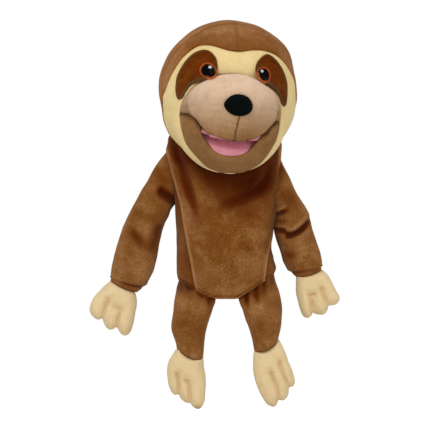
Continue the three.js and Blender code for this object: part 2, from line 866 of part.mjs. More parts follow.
const jawCore = headCore(-plush - gap);
add(headGroup, "lower_lip", makeLowerLip(), "jaw");
add(headGroup, "chin_panel", makeChin(), "cream");
add(headGroup, "jaw_filling", makeJawFilling(), "filling");
add(headGroup, "tongue_lining", makeSheet(jawSlope, -1, 0, liningThick, jawCore), "pink");
add(headGroup, "tongue_board", makeSheet(jawSlope, -1, liningThick + gap, stack - gap, jawCore), "board");
add(headGroup, "thumb_pocket", makePocket(thumbPocket), "lining");

add(puppet, "body_front", biggest(bodyShell.intersect(frontPanelBlock(0))), "plush");
add(puppet, "body_back", biggest(bodyShell.subtract(frontPanelBlock(gap))), "plush");
add(puppet, "hem_facing", makeHemFacing(), "plush");
add(puppet, "glove_lining", makeBodyLining(), "lining");
add(puppet, "neck_sleeve", makeNeckSleeve(), "plush");

function addArm(name, out, elbow, cuff, splay) {
  const arm = new THREE.Group();
  arm.position.y = armY;
  puppet.add(arm);
  const parts = armParts(out, elbow, cuff);
  add(arm, `sleeve_${name}`, parts.sleeve, "plush");
  add(arm, `arm_filling_${name}`, parts.filling, "filling");
  const wrist = new THREE.Group();
  wrist.position.set(out * cuff.x, 0, cuff.z);
  wrist.rotation.y = out * -splay * degrees;
  arm.add(wrist);
  add(wrist, `hand_${name}`, makePaw(out, hand, cuffHalfWidth - plush, cuffHalfDepth - plush), "paw");
}

function addLeg(name, out, ankle, splay) {
  const leg = new THREE.Group();
  leg.position.y = hipY;
  puppet.add(leg);
  const parts = legParts(out, ankle);
  add(leg, `leg_gathers_${name}`, makeGathers(out), "plush");
  add(leg, `leg_${name}`, parts.leg, "plush");
  add(leg, `leg_filling_${name}`, parts.filling, "filling");
  const joint = new THREE.Group();
  joint.position.set(out * ankle.x, 0, ankle.z);
  joint.rotation.y = out * -splay * degrees;
  leg.add(joint);
  add(joint, `foot_${name}`, makePaw(out, foot, ankleHalfWidth - plush, ankleHalfDepth - plush), "paw");
}

addArm("left", 1, leftElbow, leftCuff, leftHandSplay);
addArm("right", -1, rightElbow, rightCuff, rightHandSplay);
addLeg("left", 1, leftAnkle, leftFootSplay);
addLeg("right", -1, rightAnkle, rightFootSplay);

export default puppet;
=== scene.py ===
import math

import bpy
import numpy as np
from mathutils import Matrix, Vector
from mathutils.bvhtree import BVHTree
from mathutils.kdtree import KDTree


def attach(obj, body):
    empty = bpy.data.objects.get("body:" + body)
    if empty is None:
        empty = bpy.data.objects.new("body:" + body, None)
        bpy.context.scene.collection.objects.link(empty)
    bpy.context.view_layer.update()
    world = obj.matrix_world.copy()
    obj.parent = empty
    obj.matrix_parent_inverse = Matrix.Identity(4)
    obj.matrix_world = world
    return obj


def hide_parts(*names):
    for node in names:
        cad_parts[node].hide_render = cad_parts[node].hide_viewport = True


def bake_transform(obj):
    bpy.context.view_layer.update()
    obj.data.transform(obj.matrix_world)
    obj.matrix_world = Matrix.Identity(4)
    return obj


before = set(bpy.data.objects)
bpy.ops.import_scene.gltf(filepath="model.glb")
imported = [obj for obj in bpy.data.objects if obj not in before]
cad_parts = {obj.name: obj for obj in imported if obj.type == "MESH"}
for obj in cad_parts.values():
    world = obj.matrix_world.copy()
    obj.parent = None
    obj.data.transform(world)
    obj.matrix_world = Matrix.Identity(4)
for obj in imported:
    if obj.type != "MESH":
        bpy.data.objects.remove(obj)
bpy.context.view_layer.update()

# A sloth hand puppet: plush head, glove body, sleeves and legs, with stuffed hands and feet.
# Shapes are worked out in millimetres and set down in metres, in the CAD model's frame.

metre = 0.001  # one millimetre

# Smooth helpers


def smoothStep(t):
    t = np.clip(t, 0, 1)
    return t * t * (3 - 2 * t)


def ease(value, keys):  # keys are (place, value) pairs in order
    places = np.array([key[0] for key in keys], float)
    values = np.array([key[1] for key in keys], float)
    value = np.clip(np.asarray(value, float), places[0], places[-1])
    i = np.clip(np.searchsorted(places, value) - 1, 0, len(places) - 2)
    share = smoothStep((value - places[i]) / (places[i + 1] - places[i]))
    return values[i] + (values[i + 1] - values[i]) * share


def between(value, table):  # straight lines through (place, value) pairs in order
    return np.interp(value, [pair[0] for pair in table], [pair[1] for pair in table])


def bell(distance, reach):  # 1 at no distance, nearly nothing at twice the reach
    return np.exp(-(distance / reach) ** 2)


def ringAngles(sides):
    return np.arange(sides) / sides * 2 * math.pi


def rounded(value, square):  # of a sine or cosine: 2 keeps an oval, more squares it off
    return np.sign(value) * np.abs(value) ** (2 / square)


def ripple(points, size, seed):  # smooth waves, about -1 to 1
    chance = np.random.default_rng(seed)
    total = np.zeros(len(points))
    for _ in range(7):
        along = chance.normal(size=3)
        along /= np.linalg.norm(along)
        pace = 2 * math.pi / (size * chance.uniform(0.7, 1.5))
        total += np.sin(points @ along * pace + chance.uniform(0, 2 * math.pi))
    return total / 3.5


def spline(points, steps, closed=False):  # a smooth curve through points
    points = np.asarray(points, float)
    count = len(points)
    spans = count if closed else count - 1
    place = np.linspace(0, spans, steps, endpoint=not closed)
    i = np.minimum(place.astype(int), spans - 1)
    t = (place - i)[:, None]

    def at(k):
        return points[k % count] if closed else points[np.clip(k, 0, count - 1)]

    a, b, c, d = at(i - 1), at(i), at(i + 1), at(i + 2)
    return b + 0.5 * t * (c - a + t * (2 * a - 5 * b + 4 * c - d + t * (3 * (b - c) + d - a)))


def unite(a, b, soft):  # smooth union of two distances
    near = np.maximum(soft - np.abs(a - b), 0) / soft
    return np.minimum(a, b) - near * near * soft / 4


def egg(points, middle, half, low=None):  # half is half width, half depth and rise; low is the fall
    q = points - np.array(middle, float)
    size = np.empty_like(q)
    size[:] = half
    if low is not None:
        size[:, 2] = np.where(q[:, 2] > 0, half[2], low)
    k0 = np.linalg.norm(q / size, axis=1)
    k1 = np.linalg.norm(q / size ** 2, axis=1)
    return k0 * (k0 - 1) / np.maximum(k1, 1e-9)


def slopeOf(field, points, step=0.3):  # outward unit direction of a field
    slope = np.empty_like(points)
    for axis in range(3):
        side = np.zeros(3)
        side[axis] = step
        slope[:, axis] = field(points + side) - field(points - side)
    return slope / np.maximum(np.linalg.norm(slope, axis=1), 1e-9)[:, None]


def distanceInside(outline, x, z):  # distance to an outline, positive inside it
    a = np.asarray(outline, float)
    b = np.roll(a, -1, axis=0)
    best = np.full(len(x), 1e9)
    crossings = np.zeros(len(x), int)
    for (ax, az), (bx, bz) in zip(a, b):
        ex, ez = bx - ax, bz - az
        share = np.clip(((x - ax) * ex + (z - az) * ez) / max(ex * ex + ez * ez, 1e-9), 0, 1)
        best = np.minimum(best, np.hypot(x - ax - share * ex, z - az - share * ez))
        if az != bz:
            crossings += ((az > z) != (bz > z)) & (x < ex * (z - az) / ez + ax)
    return np.where(crossings % 2 == 1, best, -best)


# Mesh helpers

meshLook = {
    "settling": 2,  # how often a net's points are drawn on to their surface
    "snap": 0.14,  # a cut closer than this share of an edge to a kept point moves on to it
    "wallShade": 0.9,  # how dark the turned-in edges are painted, as shade inside the seams
}


def surfaceNet(field, low, high, cell):  # the surface where a field is zero, as points and quads
    axes = [np.arange(a, b + cell, cell) for a, b in zip(low, high)]
    grid = np.stack(np.meshgrid(*axes, indexing="ij"), -1)
    value = field(grid.reshape(-1, 3)).reshape(grid.shape[:3])
    size = value.shape
    total = np.zeros(tuple(n - 1 for n in size) + (3,))
    count = np.zeros(tuple(n - 1 for n in size))
    edges = []
    for axis in range(3):
        before, after = [slice(None)] * 3, [slice(None)] * 3
        before[axis], after[axis] = slice(0, -1), slice(1, None)
        a, b = value[tuple(before)], value[tuple(after)]
        crossing = (a < 0) != (b < 0)
        point = grid[tuple(before)].copy()
        point[..., axis] += cell * np.where(crossing, a / np.where(crossing, a - b, 1), 0)
        point *= crossing[..., None]
        first, second = [other for other in range(3) if other != axis]
        for i in (0, 1):
            for j in (0, 1):
                pick = [slice(None)] * 3
                pick[first] = slice(i, size[first] - 1 + i)
                pick[second] = slice(j, size[second] - 1 + j)
                total += point[tuple(pick)]
                count += crossing[tuple(pick)]
        edges.append((axis, first, second, crossing, a < 0))
    used = count > 0
    index = np.full(count.shape, -1)
    index[used] = np.arange(used.sum())
    points = total[used] / count[used][:, None]
    quads = []
    for axis, first, second, crossing, lowInside in edges:
        cells = np.argwhere(crossing)
        good = (cells[:, first] > 0) & (cells[:, first] < size[first] - 1)
        good &= (cells[:, second] > 0) & (cells[:, second] < size[second] - 1)
        cells = cells[good]
        corners = []
        for i, j in ((-1, -1), (0, -1), (0, 0), (-1, 0)):
            place = cells.copy()
            place[:, first] += i
            place[:, second] += j
            corners.append(index[tuple(place.T)])
        quad = np.stack(corners, 1)
        flip = ~lowInside[tuple(cells.T)]
        if axis == 1:
            flip = ~flip
        quad[flip] = quad[flip][:, ::-1]
        quads.append(quad)
    for _ in range(meshLook["settling"]):
        points = points - field(points)[:, None] * slopeOf(field, points)
    return points, np.concatenate(quads)


def triangles(quads):
    return np.concatenate([quads[:, [0, 1, 2]], quads[:, [0, 2, 3]]])


def clip(points, tris, value):  # keeps what has a positive value
    inside = value > 0
    code = inside[tris].sum(1)
    kept = [tris[code == 3]]
    cutPoints = []
    start = len(points)
    keys = {}
    for wanted in (1, 2):
        part = tris[code == wanted]
        odd = inside[part] if wanted == 1 else ~inside[part]
        turn = odd.argmax(1)
        rows = np.arange(len(part))
        o, b, c = (part[rows, (turn + k) % 3] for k in range(3))
        ends = []
        for other in (b, c):
            ids = np.empty(len(part), int)
            for n, (p, q) in enumerate(zip(o, other)):
                key = (p, q) if p < q else (q, p)
                if key not in keys:
                    share = value[p] / (value[p] - value[q])
                    inner, close = (p, share) if inside[p] else (q, 1 - share)
                    if close < meshLook["snap"]:
                        keys[key] = inner
                    else:
                        keys[key] = start + len(cutPoints)
                        cutPoints.append(points[p] + share * (points[q] - points[p]))
                ids[n] = keys[key]
            ends.append(ids)
        if wanted == 1:
            kept.append(np.stack([o, ends[0], ends[1]], 1))
        else:
            kept.append(np.stack([b, c, ends[1]], 1))
            kept.append(np.stack([b, ends[1], ends[0]], 1))
    tris = np.concatenate(kept)
    same = (tris[:, 0] == tris[:, 1]) | (tris[:, 1] == tris[:, 2]) | (tris[:, 0] == tris[:, 2])
    tris = tris[~same]
    if cutPoints:
        points = np.concatenate([points, np.array(cutPoints)])
    used = np.unique(tris)
    index = np.full(len(points), -1)
    index[used] = np.arange(len(used))
    return points[used], index[tris]


def rimOf(tris):  # edges with one face, in their face's direction
    edges = np.concatenate([tris[:, [0, 1]], tris[:, [1, 2]], tris[:, [2, 0]]])
    ordered = np.sort(edges, 1)
    _, inverse, count = np.unique(ordered, axis=0, return_inverse=True, return_counts=True)
    return edges[count[inverse.reshape(-1)] == 1]


def rimPoints(points, tris):
    return points[np.unique(rimOf(tris))]


def distanceTo(points, others):
    tree = KDTree(len(others))
    for i, point in enumerate(others):
        tree.insert(point, i)
    tree.balance()
    return np.array([tree.find(point)[2] for point in points])


def turnedIn(points, tris, normals, depth):  # the edge of a cloth piece, turned in
    rim = rimOf(tris)
    ids = np.unique(rim)
    index = {old: len(points) + n for n, old in enumerate(ids)}
    inner = points[ids] - normals[ids] * depth
    walls = np.array([[a, index[a], index[b]] for a, b in rim] + [[a, index[b], b] for a, b in rim])
    return np.concatenate([points, inner]), np.concatenate([tris, walls])


def newObject(name, data):
    thing = bpy.data.objects.new(name, data)
    bpy.context.scene.collection.objects.link(thing)
    return thing


def makePiece(name, points, faces, material, shadeAndPile=None):  # shadeAndPile is 1 where shade is painted, -1 where light is painted, with the pile's own uneven tone mixed in
    mesh = bpy.data.meshes.new(name)
    points = np.asarray(points, float) * metre
    mesh.from_pydata(points.tolist(), [], [list(map(int, face)) for face in faces])
    mesh.update()
    mesh.shade_smooth()
    if shadeAndPile is not None:
        values = np.full(len(points), meshLook["wallShade"], np.float32)
        values[:len(shadeAndPile)] = shadeAndPile
        mesh.attributes.new("shadeAndPile", "FLOAT", "POINT").data.foreach_set("value", values)
    mesh.materials.append(material)
    return newObject(name, mesh)


def loftFaces(rings, sides, closedStart=True, closedEnd=True):
    faces = []
    for r in range(rings - 1):
        for i in range(sides):
            a, b = r * sides + i, r * sides + (i + 1) % sides
            faces.append([a, b, b + sides, a + sides])
    if closedStart:
        faces.append(list(range(sides - 1, -1, -1)))
    if closedEnd:
        faces.append(list(range((rings - 1) * sides, rings * sides)))
    return faces


def outward(points, faces):  # turns faces out
    total = 0.0
    for face in faces:
        for k in range(1, len(face) - 1):
            total += np.dot(points[face[0]], np.cross(points[face[k]], points[face[k + 1]]))
    return faces if total > 0 else [list(face)[::-1] for face in faces]


def tube(path, radius, sides=8, closed=False):
    path = np.asarray(path, float)
    count = len(path)
    if closed:
        along = np.roll(path, -1, axis=0) - np.roll(path, 1, axis=0)
    else:
        along = np.gradient(path, axis=0)
    along /= np.linalg.norm(along, axis=1)[:, None]
    side = np.cross(along, [0.0, 1.0, 0.0])
    side /= np.maximum(np.linalg.norm(side, axis=1), 1e-6)[:, None]
    up = np.cross(side, along)
    angle = ringAngles(sides)
    ring = np.cos(angle)[None, :, None] * side[:, None] + np.sin(angle)[None, :, None] * up[:, None]
    points = (path[:, None] + radius * ring).reshape(-1, 3)
    faces = loftFaces(count, sides, not closed, not closed)
    if closed:
        last = (count - 1) * sides
        faces += [[last + i, last + (i + 1) % sides, (i + 1) % sides, i] for i in range(sides)]
    return points, outward(points, faces)


# Materials: the deep, middle and light tone of each cloth

tones = {
    "plush": ((0.150, 0.042, 0.003), (0.234, 0.086, 0.018), (0.380, 0.182, 0.070)),
    "limb": ((0.170, 0.054, 0.006), (0.276, 0.114, 0.030), (0.410, 0.205, 0.084)),
    "crown": ((0.200, 0.062, 0.010), (0.305, 0.120, 0.032), (0.450, 0.220, 0.096)),
    "cream": ((0.790, 0.580, 0.235), (0.880, 0.680, 0.320), (0.930, 0.760, 0.420)),
    "paw": ((0.740, 0.545, 0.275), (0.850, 0.655, 0.365), (0.900, 0.725, 0.450)),
    "muzzle": ((0.680, 0.460, 0.300), (0.840, 0.600, 0.420), (0.900, 0.690, 0.520)),
    "muzzleLow": ((0.235, 0.108, 0.034), (0.330, 0.165, 0.056), (0.420, 0.245, 0.100)),
    "jaw": ((0.200, 0.090, 0.030), (0.290, 0.142, 0.052), (0.380, 0.205, 0.088)),
    "patch": ((0.090, 0.016, 0.001), (0.150, 0.031, 0.002), (0.225, 0.070, 0.007)),
    "border": ((0.110, 0.040, 0.006), (0.175, 0.070, 0.013), (0.250, 0.115, 0.030)),
    "pink": ((0.600, 0.175, 0.215), (0.740, 0.285, 0.340), (0.830, 0.400, 0.450)),
    "nose": ((0.001, 0.002, 0.001), (0.002, 0.004, 0.003), (0.010, 0.012, 0.013)),
    "iris": ((0.520, 0.080, 0.012), (0.680, 0.125, 0.020), (0.790, 0.210, 0.045)),
    "pupil": ((0.001, 0.001, 0.002), (0.002, 0.002, 0.003), (0.006, 0.006, 0.010)),
    "glint": ((0.900, 0.900, 0.890), (0.950, 0.950, 0.945), (0.980, 0.980, 0.975)),
    "lining": ((0.050, 0.022, 0.010), (0.085, 0.040, 0.020), (0.120, 0.062, 0.034)),
    "thread": ((0.120, 0.060, 0.025), (0.170, 0.090, 0.042), (0.230, 0.130, 0.065)),
}

paintedFoldShade = {  # painted shade: a deeper colour where ambient occlusion finds folds and hollows
    "plush": (0.050, 0.005, 0.001),
    "limb": (0.066, 0.010, 0.002),
    "crown": (0.130, 0.036, 0.006),
    "muzzle": (0.200, 0.095, 0.032),
    "jaw": (0.095, 0.036, 0.010),
    "cream": (0.560, 0.330, 0.110),
    "paw": (0.560, 0.350, 0.150),
    "pink": (0.470, 0.110, 0.160),
    "patch": (0.050, 0.008, 0.001),
}
ruddyShade = {  # painted shade colours: a ruddy one where the shade is slight, a deeper one where it is darkest
    "plush": ((0.140, 0.030, 0.003), (0.066, 0.008, 0.001)),
    "limb": ((0.150, 0.038, 0.004), (0.062, 0.008, 0.001)),
    "crown": ((0.190, 0.058, 0.009), (0.120, 0.030, 0.004)),
}
napLook = {
    "roughness": 0.92,
    "broad": (34, 3, 1.7),  # scale, detail and seed of the broad mottling
    "streaksAndShade": (125, 3, 4.1),  # of the brushed streaks
    "fine": (2, 0.6),  # detail and seed of the pile's grain
    "shares": (0.36, 0.30, 0.34),  # how much of each goes into the colour
    "patchy": (1.5, 0.25),  # how unevenly the painted shade lies
    "firstShade": 1.7,  # how fast the painted shade deepens
    "flat": 0.42,  # and from where on it takes the deepest painted shade
    "outline": (0.35, 1.7),  # how narrow the painted sheen at the outline is, and how fast it fades
    "relief": 0.8,  # the brushed streaks' share of the bump
}
threadLook = {
    "distortion": 1.5,
    "detail": 2.0,
    "broad": (260, 2, 2.2),
    "stops": (0.25, 0.5, 0.75),
    "relief": 0.00035,
}
boardLook = {
    "roughness": 0.8,
    "sheen": 0.04,
    "fibre": (900, 3, 3.3),
    "stops": (0.3, 0.5, 0.7),
    "change": 300,  # how sharply one cloth gives way to the other
    "relief": 0.0002,
    "halfWidth": 0.036,  # of the cloth between the lips, in metres
}


def socket(node, name, value):
    if name in node.inputs:
        node.inputs[name].default_value = value


def noiseNode(tree, vector, scale, detail, seed=0.0):
    noise = tree.nodes.new("ShaderNodeTexNoise")
    noise.noise_dimensions = "4D"
    socket(noise, "W", seed)
    socket(noise, "Scale", scale)
    socket(noise, "Detail", detail)
    socket(noise, "Roughness", 0.55)
    tree.links.new(vector, noise.inputs["Vector"])
    return noise.outputs["Fac"]


def mathNode(tree, operation, a, b, clamped=False):
    node = tree.nodes.new("ShaderNodeMath")
    node.operation = operation
    node.use_clamp = clamped
    for place, value in ((0, a), (1, b)):
        if isinstance(value, (int, float)):
            node.inputs[place].default_value = value
        else:
            tree.links.new(value, node.inputs[place])
    return node.outputs[0]


def colourRamp(tree, factor, stops):
    ramp = tree.nodes.new("ShaderNodeValToRGB")
    elements = ramp.color_ramp.elements
    while len(elements) < len(stops):
        elements.new(0.5)
    for element, (place, colour) in zip(elements, stops):
        element.position = place
        element.color = (*colour, 1)
    tree.links.new(factor, ramp.inputs["Fac"])
    return ramp.outputs["Color"]


def mixColour(tree, factor, a, b, way="MIX"):
    mix = tree.nodes.new("ShaderNodeMix")
    mix.data_type = "RGBA"
    mix.blend_type = way
    for name, value in (("Factor", factor), ("A", a), ("B", b)):
        place = [s for s in mix.inputs if s.name == name and s.enabled][0]
        if isinstance(value, (int, float)):
            place.default_value = value
        elif isinstance(value, tuple):
            place.default_value = (*value, 1)
        else:
            tree.links.new(value, place)
    return [s for s in mix.outputs if s.enabled][0]


def startMaterial(name, roughness, sheen, sheenTint=(1, 1, 1), gloss=0.03):
    material = bpy.data.materials.new(name)
    material.use_nodes = True
    tree = material.node_tree
    shader = tree.nodes["Principled BSDF"]
    socket(shader, "Roughness", roughness)
    socket(shader, "Specular IOR Level", gloss)
    socket(shader, "Sheen Weight", sheen)
    socket(shader, "Sheen Roughness", 0.45)
    socket(shader, "Sheen Tint", (*sheenTint, 1))
    coords = tree.nodes.new("ShaderNodeTexCoord")
    return material, tree, shader, coords.outputs["Object"]


def alongAxis(tree, place, axis):
    split = tree.nodes.new("ShaderNodeSeparateXYZ")
    tree.links.new(place, split.inputs["Vector"])
    return split.outputs[axis]


def heightShare(tree, place, low, high):  # 0 at one height of the object, 1 at another
    span = tree.nodes.new("ShaderNodeMapRange")
    span.interpolation_type = "SMOOTHSTEP"
    socket(span, "From Min", low)
    socket(span, "From Max", high)
    tree.links.new(alongAxis(tree, place, "Z"), span.inputs["Value"])
    return span.outputs["Result"]


def addBump(tree, shader, height, distance, strength=1.0):
    bump = tree.nodes.new("ShaderNodeBump")
    socket(bump, "Distance", distance)
    socket(bump, "Strength", strength)
    tree.links.new(height, bump.inputs["Height"])
    tree.links.new(bump.outputs["Normal"], shader.inputs["Normal"])


def closedIn(tree, distance):  # 1 in the open, 0 deep in a fold
    shade = tree.nodes.new("ShaderNodeAmbientOcclusion")
    shade.samples = 8
    socket(shade, "Distance", distance)
    return shade.outputs["AO"]


def napCloth(name, tone, sheen=0.04, mottle=1.0, pile=0.0007, tint=(1.0, 0.72, 0.48), weave=620, reach=0.018,
             lower=None, spread=0.15, grazing=0.0, shadePower=1.3):
    material, tree, shader, place = startMaterial(name, napLook["roughness"], sheen, tint)
    deep, mid, light = tones[tone]
    broad = noiseNode(tree, place, *napLook["broad"])
    streaksAndShade = noiseNode(tree, place, *napLook["streaksAndShade"])
    fine = noiseNode(tree, place, weave, *napLook["fine"])
    broadShare, brushedShare, fineShare = napLook["shares"]
    mixed = mathNode(tree, "MULTIPLY", broad, broadShare * mottle)
    mixed = mathNode(tree, "ADD", mixed, mathNode(tree, "MULTIPLY", streaksAndShade, brushedShare * mottle))
    mixed = mathNode(tree, "ADD", mixed, mathNode(tree, "MULTIPLY", fine, fineShare))
    mixed = mathNode(tree, "ADD", mixed, 0.33 * (1 - mottle))  # keeps the middle tone in the middle
    stops = (0.5 - spread, 0.5, 0.5 + spread)
    colour = colourRamp(tree, mixed, tuple(zip(stops, (deep, mid, light))))
    if lower is not None:  # another tone at the bottom of the piece, between two heights: painted shade on the muzzle's underside
        lowTone, lowHeight, highHeight = lower
        under = colourRamp(tree, mixed, tuple(zip(stops, tones[lowTone])))
        colour = mixColour(tree, heightShare(tree, place, lowHeight, highHeight), under, colour)
    if tone in paintedFoldShade:
        shadeAndPileNode = tree.nodes.new("ShaderNodeAttribute")
        shadeAndPileNode.attribute_name = "shadeAndPile"
        # painted shade where the attribute is above 0, uneven in patches
        uneven, least = napLook["patchy"]
        patchy = mathNode(tree, "ADD", mathNode(tree, "MULTIPLY", broad, uneven), least)
        dark = mathNode(tree, "MULTIPLY", shadeAndPileNode.outputs["Fac"], patchy)
        if tone in ruddyShade:
            firstShade, flat = ruddyShade[tone]
            pace = napLook["firstShade"]
            colour = mixColour(tree, mathNode(tree, "MULTIPLY", dark, pace, True), colour, firstShade)
            deeperShade = mathNode(tree, "MULTIPLY", mathNode(tree, "SUBTRACT", dark, napLook["flat"]), pace, True)
            colour = mixColour(tree, deeperShade, colour, flat)
        else:
            colour = mixColour(tree, mathNode(tree, "MULTIPLY", dark, 1.0, True), colour, paintedFoldShade[tone])
        # painted light where the attribute is below 0
        colour = mixColour(tree, mathNode(tree, "MULTIPLY", shadeAndPileNode.outputs["Fac"], -1.0, True), colour, light)
        # painted shade in folds and hollows, from ambient occlusion
        factor = mathNode(tree, "POWER", closedIn(tree, reach), shadePower)
        colour = mixColour(tree, factor, paintedFoldShade[tone], colour)
    if grazing:  # painted sheen: the colour is lightened at the outline
        narrow, fade = napLook["outline"]
        facing = tree.nodes.new("ShaderNodeLayerWeight")
        socket(facing, "Blend", narrow)
        edge = mathNode(tree, "MULTIPLY", mathNode(tree, "POWER", facing.outputs["Facing"], fade), grazing, True)
        colour = mixColour(tree, edge, colour, light)
    tree.links.new(colour, shader.inputs["Base Color"])
    relief = mathNode(tree, "ADD", fine, mathNode(tree, "MULTIPLY", streaksAndShade, napLook["relief"]))
    addBump(tree, shader, relief, pile)
    return material


def threadCloth(name, tone, twist=900, roughness=0.5, sheen=0.02, gloss=0.08):
    material, tree, shader, place = startMaterial(name, roughness, sheen, gloss=gloss)
    wave = tree.nodes.new("ShaderNodeTexWave")
    wave.bands_direction = "DIAGONAL"
    socket(wave, "Scale", twist)
    socket(wave, "Distortion", threadLook["distortion"])
    socket(wave, "Detail", threadLook["detail"])
    tree.links.new(place, wave.inputs["Vector"])
    broad = noiseNode(tree, place, *threadLook["broad"])
    strands, patches = (mathNode(tree, "MULTIPLY", part, 0.5) for part in (wave.outputs["Fac"], broad))
    mixed = mathNode(tree, "ADD", strands, patches)
    colour = colourRamp(tree, mixed, tuple(zip(threadLook["stops"], tones[tone])))
    tree.links.new(colour, shader.inputs["Base Color"])
    addBump(tree, shader, wave.outputs["Fac"], threadLook["relief"])
    return material


def casedBoard(name, tone, endTone):  # one cloth between the lips, another under the cheeks
    material, tree, shader, place = startMaterial(name, boardLook["roughness"], boardLook["sheen"])
    fibre = noiseNode(tree, place, *boardLook["fibre"])
    aside = mathNode(tree, "ABSOLUTE", alongAxis(tree, place, "X"), 0)
    beyond = mathNode(tree, "SUBTRACT", aside, boardLook["halfWidth"])
    ends = mathNode(tree, "MULTIPLY", beyond, boardLook["change"], True)
    stops = boardLook["stops"]
    middle, sides = (colourRamp(tree, fibre, tuple(zip(stops, tones[key]))) for key in (tone, endTone))
    tree.links.new(mixColour(tree, ends, middle, sides), shader.inputs["Base Color"])
    addBump(tree, shader, fibre, boardLook["relief"])
    return material


plush = napCloth("plush", "plush", reach=0.030, spread=0.13, grazing=0.85, shadePower=1.5)
limbPlush = napCloth("limb_plush", "limb", reach=0.012, spread=0.13, grazing=0.85, shadePower=1.2)
crownPlush = napCloth("crown_plush", "crown", reach=0.030, spread=0.12, grazing=0.6)
cream = napCloth("cream", "cream", sheen=0.08, mottle=0.75, pile=0.0005, tint=(1.0, 0.93, 0.8))
pawCloth = napCloth("paw", "paw", sheen=0.08, mottle=0.7, pile=0.0005, tint=(1.0, 0.93, 0.8), reach=0.006, shadePower=1.1,
                    spread=0.2, grazing=0.5)
# the muzzle's lower part takes the darker muzzleLow tone as painted shade
muzzleCloth = napCloth("muzzle", "muzzle", sheen=0.06, mottle=0.8, pile=0.0005, tint=(1.0, 0.88, 0.8), reach=0.012,
                       lower=("muzzleLow", 0.154, 0.226), shadePower=1.6)
jawCloth = napCloth("jaw", "jaw", sheen=0.04, mottle=0.8, pile=0.0005, reach=0.014)
patchCloth = napCloth("patch", "patch", sheen=0.03, mottle=0.9, pile=0.0004, weave=1700, spread=0.12)
pinkCloth = napCloth("pink", "pink", sheen=0.06, mottle=0.7, pile=0.0004, tint=(1.0, 0.85, 0.95), weave=900,
                     reach=0.008, shadePower=0.8)
noseCloth = napCloth("nose", "nose", sheen=0.01, mottle=0.8, pile=0.0004, tint=(0.8, 0.85, 1.0), weave=1700)
liningCloth = napCloth("lining", "lining", sheen=0.05, mottle=0.6, pile=0.0002, weave=2200)
borderThread = threadCloth("border_thread", "border")
irisThread = threadCloth("iris_thread", "iris")
pupilThread = threadCloth("pupil_thread", "pupil", roughness=0.35, sheen=0.002, gloss=0.03)
glintThread = threadCloth("glint_thread", "glint")
seamThread = threadCloth("seam_thread", "thread")
boardCase = casedBoard("board_case", "pink", "jaw")
print("materials ready")

# Head forms, in the head's own frame: x to the viewer's right, y back, z up from the middle of the skull

headLook = {
    "place": (0.5, -14.0, 205.0),
    "turn": 7.4,  # degrees about Z
    "tilt": 4.0,  # and about Y
    "skull": (69.0, 62.0, 73.0),
    "fuller": 0.10,  # how much wider the crown is on the viewer's right
    "jawMiddle": (0.0, -31.0, -25.0),
    "jaw": (55.8, 47.0, 54.5),
    "domeMiddle": (0.0, -48.0, -8.0),
    "dome": (45.0, 44.0, 35.0),
    "domeFall": 56.0,
    "hinge": (-22.0, -17.0),  # y and z of the mouth's fold
    "neckCut": -54.0,
    "puff": 0.7,  # how far a panel swells between its seams
    "sink": 1.5,  # and sinks at them
    "faceSink": 0.9,  # at the face's seams
    "reach": (5, 1.5),  # how far from a seam a panel swells, and how far it sinks
    "lumps": 0.35,  # how uneven the filling is
    "lumpSize": (26, 8),  # the size of the lumps, and how far from a seam they fade in
    "faceSeed": 11,
    "turnIn": 1.8,  # how deep the edges are turned in
    "slimmer": 0.045,  # how much the cheek on the viewer's left draws in
    "joins": (8, 6),  # how softly the jaw and the muzzle run into the skull
    "cells": (1.7, 1.5),  # mesh sizes of the head and the face
    "headBox": ((-76, -86, -88), (80, 68, 80)),  # room for the meshes
    "faceBox": ((-62, -100, -62), (62, -14, 40)),
    "snoutBack": -12,  # the muzzle and the lip lie ahead of this y
    "crossSeam": (-9, -8, 12),  # y of the seam from cheek to cheek, how much less on top, and how much more below
    "throatSpan": (101, 122, 10.5),  # degrees about the fold to the throat's cloth, and what it narrows to at its top
}


def turnMatrix():
    turn, tilt = math.radians(headLook["turn"]), math.radians(headLook["tilt"])
    about = np.array([[math.cos(turn), -math.sin(turn), 0], [math.sin(turn), math.cos(turn), 0], [0, 0, 1]])
    lean = np.array([[math.cos(tilt), 0, math.sin(tilt)], [0, 1, 0], [-math.sin(tilt), 0, math.cos(tilt)]])
    return about @ lean


headTurn = turnMatrix()


def headWorld(points):
    return np.asarray(points, float) @ headTurn.T + np.array(headLook["place"])


def headField(p):
    p = p.copy()
    p[:, 0] *= 1 - headLook["fuller"] * smoothStep((p[:, 2] - 24) / 36) * smoothStep(p[:, 0] / 26)
    p[:, 0] *= 1 + headLook["slimmer"] * bell(p[:, 2] + 17, 15) * smoothStep(-p[:, 0] / 40)
    skull = egg(p, (0, 0, 0), headLook["skull"])
    return unite(skull, egg(p, headLook["jawMiddle"], headLook["jaw"]), headLook["joins"][0])


def faceField(p):
    dome = egg(p, headLook["domeMiddle"], headLook["dome"], headLook["domeFall"])
    return unite(headField(p), dome, headLook["joins"][1])


landing = {"from": -130.0, "steps": 90, "share": 0.9}  # y to start at, and the share of the distance in each step


def landFront(field, x, z):  # points on a surface, met from the front
    p = np.stack([x, np.full(len(x), landing["from"]), z], 1)
    for _ in range(landing["steps"]):
        p[:, 1] += np.maximum(field(p), 0) * landing["share"]
    return p


def hingeAngle(p):  # degrees down from straight ahead, about the mouth's fold
    y, z = headLook["hinge"]
    return np.degrees(np.arctan2(z - p[:, 2], y - p[:, 1]))


# Seams and edges of the face as x and z in the head's frame

